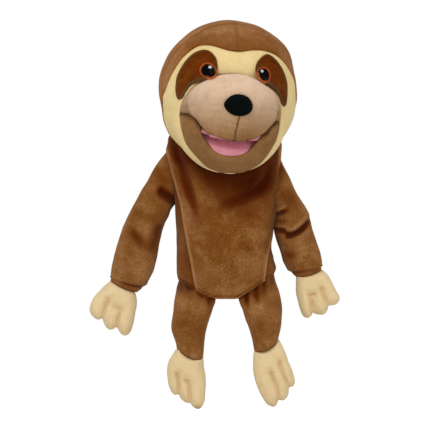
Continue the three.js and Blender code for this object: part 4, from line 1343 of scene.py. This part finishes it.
def clothPiece(name, panel, material, seed, puff=0.5, sink=1.2, creases=(), edge=1.8, lumps=0.9, ridge=0.0):
    points, tris = panel
    normals = bodyNormals(points)
    away = distanceTo(points, rimPoints(points, tris))
    swell, sag = bodyLook["swell"]
    lift = puff * (1 - np.exp(-away / swell)) - sink * bell(away, sag)
    (broad, broadFade), (small, smallFade, smallHeight) = bodyLook["lumps"]
    lift = lift + lumps * ripple(points * (1, 1, 0.7), broad, seed) * smoothStep(away / broadFade)
    lift = lift + smallHeight * ripple(points, small, seed + 50) * smoothStep(away / smallFade)
    folds, shade = foldsOf(points, creases)
    beside, half = bodyLook["ridge"]
    sideways = np.abs(inFrontPanel(points))
    seam = ridge * bell(sideways - beside, half) * smoothStep((points[:, 2] - 4) / 10)
    uneven, patch = bodyLook["napPatches"]
    # painted shadow under the chin and painted shade in the folds, with the pile's own uneven tone
    shadeAndPile = underHead(points) + shade + uneven * ripple(points, patch, seed + 7)
    if not ridge:  # the panel behind the side seams lies in the arms' shade
        shadeAndPile = shadeAndPile + bodyLook["armShade"] * smoothStep((2 - points[:, 1]) / 10)
    height, half = bodyLook["hemStitch"]
    stitches = bell(aboveHem(points) - height, half)
    limit = bodyLook["napLimit"]
    shadeAndPile = limit * (1 - np.exp(-np.maximum(shadeAndPile, 0))) + np.minimum(shadeAndPile, 0) + 0.8 * stitches
    # raised seam ridges are painted lighter, as highlight
    shadeAndPile = np.maximum(shadeAndPile, 0) * (1 - 0.95 * seam) - 1.5 * seam + np.minimum(shadeAndPile, 0)
    high, deep = bodyLook["raised"]
    lift = lift + folds * (1 - seam) + high * seam - deep * stitches
    points = points + normals * lift[:, None]
    points, tris = turnedIn(points, tris, normals, edge)
    return makePiece(name, points, tris, material, shadeAndPile)


def makeBody():
    outer, turnedUp, inside, around = (bodyTube(*bodyLook[part + "Tube"]) for part in (
        "outer", "facing", "lining", "neck"))
    front = cutPanel(outer, [inFrontPanel, aboveHem, belowNeckSeam])
    back = cutPanel(outer, [lambda p: -inFrontPanel(p), aboveHem, belowNeckSeam])
    frontPiece = clothPiece("body_front_cloth", front, plush, 41, sink=0.5, creases=bodyLook["creases"], ridge=1.0)
    backPiece = clothPiece("body_back_cloth", back, plush, 42, sink=0.6)
    hem = cutPanel(turnedUp, [lambda p: aboveHem(p) - 0.3, lambda p: bodyLook["facing"] - aboveHem(p)])
    hemPiece = clothPiece("hem_facing_cloth", hem, plush, 43, puff=0.3, sink=0.3, edge=0.8, lumps=0.3)
    start, end = bodyLook["liningEnds"]
    inner = cutPanel(inside, [lambda p: aboveHem(p) - start, lambda p: belowNeckSeam(p) - end])
    innerPiece = clothPiece("glove_lining_cloth", inner, liningCloth, 44, puff=0.2, sink=0.2, edge=0.8, lumps=0.7)
    neck = cutPanel(around, [lambda p: bodyLook["neckLap"] - belowNeckSeam(p)])
    neckPiece = clothPiece("neck_cloth", neck, plush, 45, puff=0.2, sink=0.8, lumps=0.6)
    return frontPiece, backPiece, hemPiece, innerPiece, neckPiece


bodyFront, bodyBack, hemPiece, gloveLining, neckPiece = makeBody()
print("body ready")

# Limbs: lofts between an outer and an inner outline, seen from the front

limbLook = {
    "armDepth": ((0, 9.0), (0.22, 12.5), (0.45, 17.5), (0.8, 17.5), (0.93, 15.0), (1, 11.5)),
    "legDepth": ((0, 5.0), (0.12, 6.5), (0.22, 9.0), (0.38, 13.0), (0.6, 15.5), (0.9, 13.5), (1, 12.5)),
    "armY": ((0, 4.0), (0.2, 2.0), (0.45, -2.0), (1, -2.0)),
    "legY": ((0, -24.0), (0.12, -24.6), (0.32, -26.0), (1, -26.0)),
    "hemFront": ((0, -37.5), (21, -35.5), (32, -31), (40.5, -24), (46, -16), (52, -8)),  # y of the hem's front by x
    "square": 2.25,
    "armBow": 1.6,  # how far the cuff's front and back hang below its sides
    "legBow": 4.0,
    "cuff": ((0.97, 1.2), (0.88, 1.0), (0.82, -3.0)),  # the cuff turned in: its share of the width, and how far on
    "hemBehind": 32,  # brings the tops of the legs behind the front of the hem
    "lumps": ((0.8, 34), (0.3, 13)),  # height and size of the broad and the small lumps
    "napPatches": (0.16, 30, 0.1),  # how uneven the nap is, the size of its patches, and how dark it is all over
    "gathers": (0.4, 0.28),  # at the legs' tops: how far they stand up, and how dark the painted shade under the hem is
    # the cuff's stitched line and the fullness above it: share of the way, half width and height
    "cuffLine": (0.945, 0.012, 0.9),
    "cuffFull": (0.915, 0.014, 0.7),
}
armPairs = {  # points of the outer and the inner outline, from the body to the cuff
    "right": [
        ((-56, 152), (-26, 128)), ((-62, 146), (-30, 122)), ((-70, 136), (-37, 112)), ((-79, 121), (-46, 101)),
        ((-87.5, 108), (-54.5, 91)), ((-94, 93), (-58.5, 82.5)), ((-100.5, 80), (-62.5, 74)), ((-106, 66), (-66, 62)),
        ((-110.5, 51), (-69.3, 48)), ((-114.5, 38), (-71.8, 35)), ((-116.8, 28), (-74.5, 25)),
        ((-117.2, 22), (-80, 14.5)), ((-116.6, 18.6), (-89.5, 7.2)),
    ],
    "left": [
        ((48, 150), (20, 128)), ((53.5, 142), (24, 120)), ((59, 129), (29, 110)), ((64, 118), (35, 101)),
        ((69.5, 108), (41, 93)), ((75, 98), (45.5, 86)), ((80, 88), (46.2, 78)), ((83.7, 78), (46.4, 70)),
        ((86.6, 68), (48.2, 62)), ((90.3, 57), (51, 53.5)), ((93.2, 47.5), (53.8, 45.5)), ((94.8, 38.5), (57, 36.5)),
        ((95.2, 33), (62, 28.5)), ((94.5, 29.6), (69, 22.2)),
    ],
}
legPairs = {
    "right": [
        ((-46, 26), (-10, 12)), ((-49, 15), (-11.5, 3)), ((-51, 7), (-12, -3)), ((-53, -3), (-14.5, -9)),
        ((-54, -13), (-17, -18)), ((-54.5, -20), (-19.5, -27)), ((-54.3, -29), (-21, -35)), ((-53, -37), (-22.5, -44)),
        ((-51.8, -43.5), (-23.3, -52)), ((-50.6, -48), (-24, -59.5)),
    ],
    "left": [
        ((46, 30), (10, 10)), ((48.5, 20), (11, 2)), ((51, 9.5), (12.5, -3.5)), ((54, -2), (15.5, -11)),
        ((55.2, -12), (18.5, -20)), ((55, -22), (21.5, -28)), ((53.8, -30), (23.5, -35)), ((52, -37), (25.5, -43)),
        ((50.8, -41.5), (27.2, -51.5)),
    ],
}
armCreases = {  # as the body's creases
    "right": (
        (((-72, 112), (-62, 105.5), (-53, 99), (-44, 88)), 6.5, 1.6, 1.15, 0.2),
        (((-74, 132), (-66, 122), (-60, 110)), 8, 0.5, 0.5, 0), (((-96, 92), (-84, 84), (-66, 84)), 7, 0.9, 0.35, 0.5),
        (((-98, 76), (-91, 65), (-83, 56), (-66, 46)), 9, 1.4, 0.5, 0.5),
        (((-62, 76), (-70, 60), (-74, 42)), 9, 0.5, 0.35, 0),
    ),
    "left": (
        (((44, 84), (50, 85.5), (56, 88), (64, 92)), 3.2, 2.2, 1.3, 0.8),
        (((38, 72), (50, 70), (58, 68.5), (68, 64)), 3.4, 1.8, 1.3, 0.6),
        (((56, 63), (65, 65.5), (72, 69.5), (80, 78), (92, 94)), 3.4, 2.8, 1.5, 0.8),
        (((46, 78), (54, 77), (62, 78)), 4, 0.8, 0.5, 0.5), (((58, 140), (52, 122), (48, 104)), 6, 0.6, 0.5, 0),
        (((54, 46), (64, 43), (74, 46)), 7, 0.9, 0.35, 0), (((58, 112), (64, 98), (72, 88)), 8, 0.9, 0.25, 0),
    ),
}
legCreases = {
    "right": (
        (((-41, 30), (-37, 6)), 5.0, 0.8, 0.35, 0), (((-28, 22), (-24.5, -3)), 5.0, 1.2, 0.6, 0),
        (((-19, 16), (-17.5, -12)), 4.0, 1.0, 0.55, 0), (((-47, 26), (-46, 6)), 4.0, 0.6, 0.3, 0),
    ),
    "left": (
        (((18, 16), (20.5, -12)), 4.2, 1.2, 0.6, 0), (((28, 22), (30.5, -8)), 4.2, 1.3, 0.6, 0),
        (((36, 28), (37, 0)), 3.8, 1.1, 0.55, 0), (((44, 34), (45.5, 8)), 3.8, 0.8, 0.4, 0),
    ),
}


def limbLoft(name, pairs, depths, y, seed, creases, relief, cuffBow, hemFront=None, sides=110, rings=120):
    square = limbLook["square"]
    outer = spline([pair[0] for pair in pairs], rings)
    inner = spline([pair[1] for pair in pairs], rings)
    share = np.linspace(0, 1, rings)
    middle, half = (outer + inner) / 2, (outer - inner) / 2
    deep, y = ease(share, depths), ease(share, y)[:, None]
    angle = ringAngles(sides)
    c, s = rounded(np.cos(angle), square), rounded(np.sin(angle), square)
    along = np.gradient(middle, axis=0)
    along /= np.linalg.norm(along, axis=1)[:, None]
    x = middle[:, None, 0] + half[:, None, 0] * c
    z = middle[:, None, 1] + half[:, None, 1] * c
    depth = deep[:, None] * s
    points = np.stack([x, y + depth, z], -1).reshape(-1, 3)
    width = np.linalg.norm(half, axis=1)
    across = half / width[:, None] ** 2
    aside, ahead = (np.sign(part) * np.abs(part) ** (square - 1) for part in (c, s))
    normal = np.stack([across[:, None, 0] * aside, 1 / deep[:, None] * ahead, across[:, None, 1] * aside], -1)
    normal = normal.reshape(-1, 3)
    normal /= np.maximum(np.linalg.norm(normal, axis=1), 1e-9)[:, None]
    place = np.repeat(share, sides)
    (broad, broadSize), (small, smallSize) = limbLook["lumps"]
    lift = broad * ripple(points, broadSize, seed) + small * ripple(points, smallSize, seed + 9)
    lift = lift * smoothStep((1 - place) / 0.1)
    folds, shade = foldsOf(points, creases, -1, np.repeat(y[:, 0], sides))
    lift += folds
    uneven, patch, allOver = limbLook["napPatches"]
    shadeAndPile = shade + uneven * ripple(points, patch, seed + 5) + allOver
    raised, darker = relief(points[:, 0], place, np.tile(angle, rings))
    lift += raised
    shadeAndPile += darker
    points = points + normal * lift[:, None]
    if hemFront is not None:  # the tops of the legs follow the hem round
        back = between(np.abs(points[:, 0]), hemFront) + limbLook["hemBehind"]
        points[:, 1] += back * (1 - smoothStep((place - 0.08) / 0.26))
    bow = smoothStep((place - 0.75) / 0.25) * np.tile(1 - c * c, rings) * cuffBow
    points = points + np.stack([along[-1, 0] * bow, 0 * bow, along[-1, 1] * bow], 1)
    last = points[-sides:]
    centre = last.mean(0)
    step = np.array([along[-1, 0], 0, along[-1, 1]])
    turned = [centre + (last - centre) * share + step * on for share, on in limbLook["cuff"]]
    points = np.concatenate([points] + turned)
    faces = outward(points, loftFaces(rings + len(turned), sides))
    return makePiece(name, points, faces, limbPlush, shadeAndPile)


# What a limb's own relief adds: how far it lifts the cloth and how much darker it is painted, by x, share and angle


def legRelief(x, place, angle):  # the gathered top is a little uneven all round, and painted darker as shade under the hem
    high, dark = limbLook["gathers"]
    fade = bell(place - 0.2, 0.12)
    return high * fade * np.sin(x * 0.9 + 1.1 * np.sin(x * 0.21)), dark * smoothStep((0.3 - place) / 0.16)


def cuffRelief(x, place, angle):  # the stitched line of the cuff's hem
    parts = (limbLook["cuffLine"], limbLook["cuffFull"])
    (line, deep), (full, high) = ((bell(place - at, half), height) for at, half, height in parts)
    return -deep * line + high * full, 0.75 * line * (0.55 - 0.45 * np.cos(angle))


sleeves, legs = {}, {}
for limbSide, limbSeed in (("left", 51), ("right", 61)):
    sleeves[limbSide] = limbLoft(
        "sleeve_cloth_" + limbSide, armPairs[limbSide], limbLook["armDepth"], limbLook["armY"], limbSeed,
        armCreases[limbSide], cuffRelief, limbLook["armBow"])
    legs[limbSide] = limbLoft(
        "leg_cloth_" + limbSide, legPairs[limbSide], limbLook["legDepth"], limbLook["legY"], limbSeed + 3,
        legCreases[limbSide], legRelief, limbLook["legBow"], limbLook["hemFront"], rings=110)
print("limbs ready")

# Hands and feet: stuffed mitts, each with its outline and the stitched lines that part its digits, as x and z

pawLook = {
    "hand_right": {
        "outline": [
            (-116.5, 18.5), (-122, 14), (-128, 7.5), (-133, 2), (-136.5, -5), (-137.7, -10), (-136, -16), (-132, -20),
            (-128, -20.7), (-125, -19.2), (-124, -23), (-122, -27.5), (-118, -30.6), (-114, -30.6), (-110.5, -28.2),
            (-108.5, -31.5), (-106, -35), (-102, -36.8), (-98, -35), (-95, -30), (-93, -22), (-91.5, -13), (-90.2, -4),
            (-90.5, 1), (-91.5, 5), (-97, 12.5), (-105, 17.5), (-112.5, 20.5),
        ],
        "lines": [
            [(-125, -21.5), (-123.5, -13), (-120.5, -6), (-118.8, -3), (-121, 1), (-123.5, 3)],
            [(-110.5, -30), (-109.5, -22), (-107.5, -15), (-106.5, -11), (-111, -9), (-116, -5.5), (-118.8, -3)],
        ],
        "y": -2.0,
    },
    "hand_left": {
        "outline": [
            (69.5, 24), (69, 18), (69, 11), (69.5, 4), (71, -3), (73, -10), (76, -16.5), (79.5, -19.2), (83, -18.5),
            (85.2, -15.5), (86, -13.5), (89, -15), (94, -16.2), (98, -15), (101, -11), (102, -7), (105.5, -6.5),
            (110, -5), (112.8, -1.5), (112.5, 3), (109, 9), (106, 15), (102, 23), (97.5, 27.5), (93.5, 29.5), (86, 30),
            (77, 27.5), (71, 25.5),
        ],
        "lines": [
            [(86, -16), (85, -8), (84.2, -2), (83, 3.5), (81.5, 5.5), (78, 7)],
            [(83, 3.5), (87, 4), (91, 4.5)],
            [(102.5, -9.5), (99.5, -2), (96.5, 4), (95, 9), (95, 13), (96.5, 16)],
        ],
        "y": -2.0,
    },
    "foot_right": {
        "outline": [
            (-51, -50.3), (-54.1, -55.3), (-57.7, -61), (-59.6, -68), (-59.9, -78), (-58.4, -86.7), (-55.6, -93),
            (-52, -96), (-48.4, -95.3), (-46.3, -99.6), (-41.3, -103.8), (-37, -104.1), (-34.9, -106.7),
            (-29.9, -110), (-25.6, -108.7), (-22.4, -102.4), (-21, -89.6), (-21.6, -78.1), (-23, -68.1),
            (-23.4, -61), (-25, -56), (-32, -54.5), (-40, -52.5), (-47, -48.5),
        ],
        "lines": [
            [(-48.4, -98), (-48.4, -86.7), (-49.1, -78.1), (-51.3, -73.9), (-54.1, -72.4)],
            [(-37, -106.5), (-37.3, -93.9), (-38.4, -85.3), (-40.6, -82.4), (-44.1, -81.7), (-48, -82.4)],
        ],
        "y": -26.0,
    },
    "foot_left": {
        "outline": [
            (27.3, -51.7), (26.1, -59.6), (25.9, -71), (28, -81), (31.6, -91), (35.9, -99.6), (40.1, -105.3),
            (45.9, -107.9), (49.4, -106), (51.6, -101), (55.9, -101.7), (60.1, -98.1), (62, -92.4), (62.3, -88.9),
            (66.6, -86.7), (68, -81), (65.9, -72.4), (61.6, -62.4), (58.7, -53.9), (54.4, -45.3), (51.6, -40.3),
            (46, -44), (37, -47.5), (30, -47.5),
        ],
        "lines": [
            [(52, -103.5), (50.9, -92.4), (47.3, -82.4), (44.4, -75.3), (43.7, -71), (45.9, -68.9)],
            [(64, -90.5), (58.7, -81), (54.4, -71), (52.3, -63.9), (53.7, -59.6), (57.3, -58.9)],
        ],
        "y": -26.0,
    },
}
pawStuffing = {
    "round": 11.5,  # radius over which the cloth curves in from its outline
    "half": 11.0,  # half thickness
    "held": 1.5,  # how far the stitched lines are from drawing the two faces together
    "easing": 4.5,  # how much further apart they are at a line's end
    "softness": 0.9,  # how softly the cloth runs into a line
    "cell": 1.2,
    "lumps": (0.25, 11, 71),  # height, size and seed
    "creaseShade": (0.10, 1.1),  # how dark the painted shade along a line is, and how far to its sides
}


def makePaw(name, look):
    outline = spline(look["outline"], 110, closed=True)
    lines = [spline(line, 14) for line in look["lines"]]
    curve, half = pawStuffing["round"], pawStuffing["half"]

    def field(p):
        x, z = p[:, 0], p[:, 2]
        inside = distanceInside(outline, x, z)
        for line in lines:
            away, along, _ = alongPath(line, x, z)
            held = away + pawStuffing["held"] + pawStuffing["easing"] * smoothStep((along - 0.55) / 0.45)
            inside = unite(inside, held, pawStuffing["softness"])
        edge = np.maximum(curve - inside, 0)
        return np.hypot(edge, (p[:, 1] - look["y"]) * curve / half) - curve

    low = (outline[:, 0].min() - 4, look["y"] - 15, outline[:, 1].min() - 4)
    high = (outline[:, 0].max() + 4, look["y"] + 15, outline[:, 1].max() + 4)
    points, quads = surfaceNet(field, low, high, pawStuffing["cell"])
    normals = slopeOf(field, points)
    height, size, seed = pawStuffing["lumps"]
    points = points + normals * (height * ripple(points, size, seed))[:, None]
    shadeAndPile = np.zeros(len(points))
    dark, wide = pawStuffing["creaseShade"]
    for line in lines:  # painted shade along the stitched creases, on the front face
        away, along, _ = alongPath(line, points[:, 0], points[:, 2])
        shadeAndPile += dark * bell(away, wide) * (1 - 0.5 * along) * (points[:, 1] < look["y"])
    return makePiece(name + "_cloth", points, quads, pawCloth, shadeAndPile)


paws = {name: makePaw(name, look) for name, look in pawLook.items()}
print("hands and feet ready")

# Pockets above the roof board and below the tongue board, and the cloth that the boards are cased in

pocketLook = {
    "finger": {
        "slope": 31,
        "way": 1,  # above its board, or -1 below it
        "reach": 46,
        "halfWidth": 34.5,
        "height": 19.5,
    },
    "thumb": {
        "slope": 46,
        "way": -1,
        "reach": 34,
        "halfWidth": 15.8,
        "height": 18.5,
    },
    "floor": 5.4,  # from the plane through the fold to the pocket
    "start": 5.5,  # from the fold to its open end
    "short": 4.5,  # how much shorter it is than its reach
    "lumps": (0.5, 18, 81),  # height, size and seed
    "narrowing": ((0, 1), (0.75, 0.93), (1, 0.5)),
    "square": 2.8,
    "sides": 40,
    "rows": 24,
}


def pocketCloth(name, look):
    rows = []
    sides, square = pocketLook["sides"], pocketLook["square"]
    angle = ringAngles(sides)
    for share in np.linspace(0, 1, pocketLook["rows"]):
        scale = float(ease(share, pocketLook["narrowing"]))
        close = math.sqrt(max(1 - max((share - 0.9) / 0.1, 0) ** 2 * 0.9, 0))  # rounds off the blind end
        along = pocketLook["start"] + (look["reach"] - pocketLook["short"]) * share
        half = look["height"] / 2 * scale * close
        x = look["halfWidth"] * scale * close * rounded(np.cos(angle), square)
        n = look["way"] * (pocketLook["floor"] + look["height"] / 2 * scale + half * rounded(np.sin(angle), square))
        y, z = fromFold(look["slope"], along, n)
        rows.append(np.stack([x, y, z], 1))
    points = np.concatenate(rows)
    height, size, seed = pocketLook["lumps"]
    points[:, 0] += height * ripple(points, size, seed)
    faces = outward(points, loftFaces(len(rows), sides, False))
    return makePiece(name, headWorld(points), faces, liningCloth)


fingerCloth = pocketCloth("finger_pocket_cloth", pocketLook["finger"])
thumbCloth = pocketCloth("thumb_pocket_cloth", pocketLook["thumb"])
for boardName in ("roof_board", "tongue_board"):
    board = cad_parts[boardName]
    board.data.materials.clear()
    board.data.materials.append(boardCase)
print("pockets ready")

# What each piece stands for, and which pieces ride a body


def standsFor(nodes):  # hides the solids that it replaces
    if nodes:
        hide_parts(*nodes)


for piece, nodes, slotName, fill in (
    (faceCloth, ("face_panel", "chin_panel", "jaw_filling"), "cream", 0.8),
    (lipPiece, ("lower_lip", "cheek_left", "cheek_right"), "jaw", 0.7),
    (tonguePiece, ("tongue_lining",), "pink", None),
):
    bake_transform(piece)
    standsFor(nodes)
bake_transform(throatCloth)
standsFor(("throat_gusset",))
for piece, body, nodes, slotName, fill in (
    (hoodCloths[0], "head", ("hood_left",), "plush", 0.8),
    (hoodCloths[1], "head", ("hood_right",), "plush", 0.8),
    (backCloth, "head", ("head_back", "head_filling"), "plush", 0.8),
    (muzzlePiece, "head", ("muzzle", "lip_corner_left", "lip_corner_right"), "lip", 0.9),
    (roofPiece, "head", ("roof_lining",), "pink", None),
    (foldPiece, "head", ("mouth_fold",), "pink", None),
    (nosePiece, "head", ("nose",), "nose", 0.9),
    (stitchPiece, "head", (), "jaw", None),
    (fingerCloth, "head", ("finger_pocket",), "lining", None),
    (thumbCloth, "jaw", ("thumb_pocket",), "lining", None),
):
    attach(piece, body)
    standsFor(nodes)
for eyeSide, eye in eyes.items():
    for part, nodes, slotName in (
        ("patch", ("eye_patch_" + eyeSide,), "patch"),
        ("border", (), "patch"),
        ("ring", ("iris_" + eyeSide,), "iris"),
        ("pupil", ("pupil_" + eyeSide,), "pupil"),
        ("glint", ("eye_glint_" + eyeSide,), "glint"),
    ):
        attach(eye[part], "head")
        standsFor(nodes)
for piece, node, slotName in (
    (bodyFront, "body_front", "plush"),
    (bodyBack, "body_back", "plush"),
    (hemPiece, "hem_facing", "plush"),
    (gloveLining, "glove_lining", "lining"),
):
    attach(piece, "body")
    standsFor((node,))
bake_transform(neckPiece)
standsFor(("neck_sleeve",))
for limbSide, sign in (("left", 1), ("right", -1)):
    sleeve, leg = sleeves[limbSide], legs[limbSide]
    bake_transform(sleeve)
    standsFor(("sleeve_" + limbSide, "arm_filling_" + limbSide))
    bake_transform(leg)
    standsFor(("leg_" + limbSide, "leg_filling_" + limbSide, "leg_gathers_" + limbSide))
for pawName, paw in paws.items():
    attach(paw, pawName)
    standsFor((pawName,))
print("pieces placed")

# Camera, floor and light

viewLook = {
    "lens": 1172.1,
    "sensor": 36,
    "far": 50,
    "place": (-0.012, -14.03, 0.084),
    "turn": (90, 0, 0),  # degrees: level, along +Y
}
floorLook = {
    "height": -111.5,
    "half": 3000,
    "grain": (30, 2),
    "stops": ((0.3, (0.86, 0.86, 0.86)), (0.7, (0.88, 0.88, 0.88))),
    "roughness": 0.9,
    "glow": 0.62,  # what the camera sees besides the lamps' light
}
lightLook = {
    "sky": 0.55,
    "skySeen": 0.45,  # brings the sky to white for the camera
    "key": ((-0.7, -1.5, 1.3), 13.0, 1.1),  # place, power and size
    "fill": ((1.2, -1.6, 0.5), 6.0, 1.2),
    "aim": (0, 0, 0.1),
}


def makeCamera():
    data = bpy.data.cameras.new("camera")
    data.lens = viewLook["lens"]
    data.sensor_width = viewLook["sensor"]
    data.clip_end = viewLook["far"]
    camera = newObject("camera", data)
    camera.location = viewLook["place"]
    camera.rotation_euler = [math.radians(angle) for angle in viewLook["turn"]]
    bpy.context.scene.camera = camera


def seenOnly(tree, strength):  # what only the camera sees
    rays = tree.nodes.new("ShaderNodeLightPath")
    return mathNode(tree, "MULTIPLY", rays.outputs["Is Camera Ray"], strength)


def makeFloor():
    material, tree, shader, place = startMaterial("floor", floorLook["roughness"], 0.0, gloss=0.0)
    colour = colourRamp(tree, noiseNode(tree, place, *floorLook["grain"]), floorLook["stops"])
    tree.links.new(colour, shader.inputs["Base Color"])
    glow = tree.nodes.new("ShaderNodeEmission")
    tree.links.new(seenOnly(tree, floorLook["glow"]), glow.inputs["Strength"])
    both = tree.nodes.new("ShaderNodeAddShader")
    tree.links.new(shader.outputs[0], both.inputs[0])
    tree.links.new(glow.outputs[0], both.inputs[1])
    tree.links.new(both.outputs[0], tree.nodes["Material Output"].inputs["Surface"])
    half, height = floorLook["half"], floorLook["height"]
    points = [(x * half, y * half, height) for x, y in ((-1, -1), (1, -1), (1, 1), (-1, 1))]
    floor = makePiece("floor", points, [[0, 1, 2, 3]], material)


def makeWorld():
    world = bpy.data.worlds.new("world")
    world.use_nodes = True
    tree = world.node_tree
    background = tree.nodes["Background"]
    socket(background, "Color", (1, 1, 1, 1))
    strength = mathNode(tree, "ADD", seenOnly(tree, lightLook["skySeen"]), lightLook["sky"])
    tree.links.new(strength, background.inputs["Strength"])
    bpy.context.scene.world = world


def makeLamp(name):
    place, power, size = lightLook[name]
    data = bpy.data.lights.new(name, "AREA")
    data.energy = power
    data.size = size
    lamp = newObject(name, data)
    lamp.location = place
    lamp.rotation_euler = (Vector(lightLook["aim"]) - Vector(place)).to_track_quat("-Z", "Y").to_euler()


makeCamera()
makeFloor()
makeWorld()
for lampName in ("key", "fill"):
    makeLamp(lampName)
bpy.context.scene.view_settings.view_transform = "Standard"
print("camera, floor and light ready")


print("scene ready")
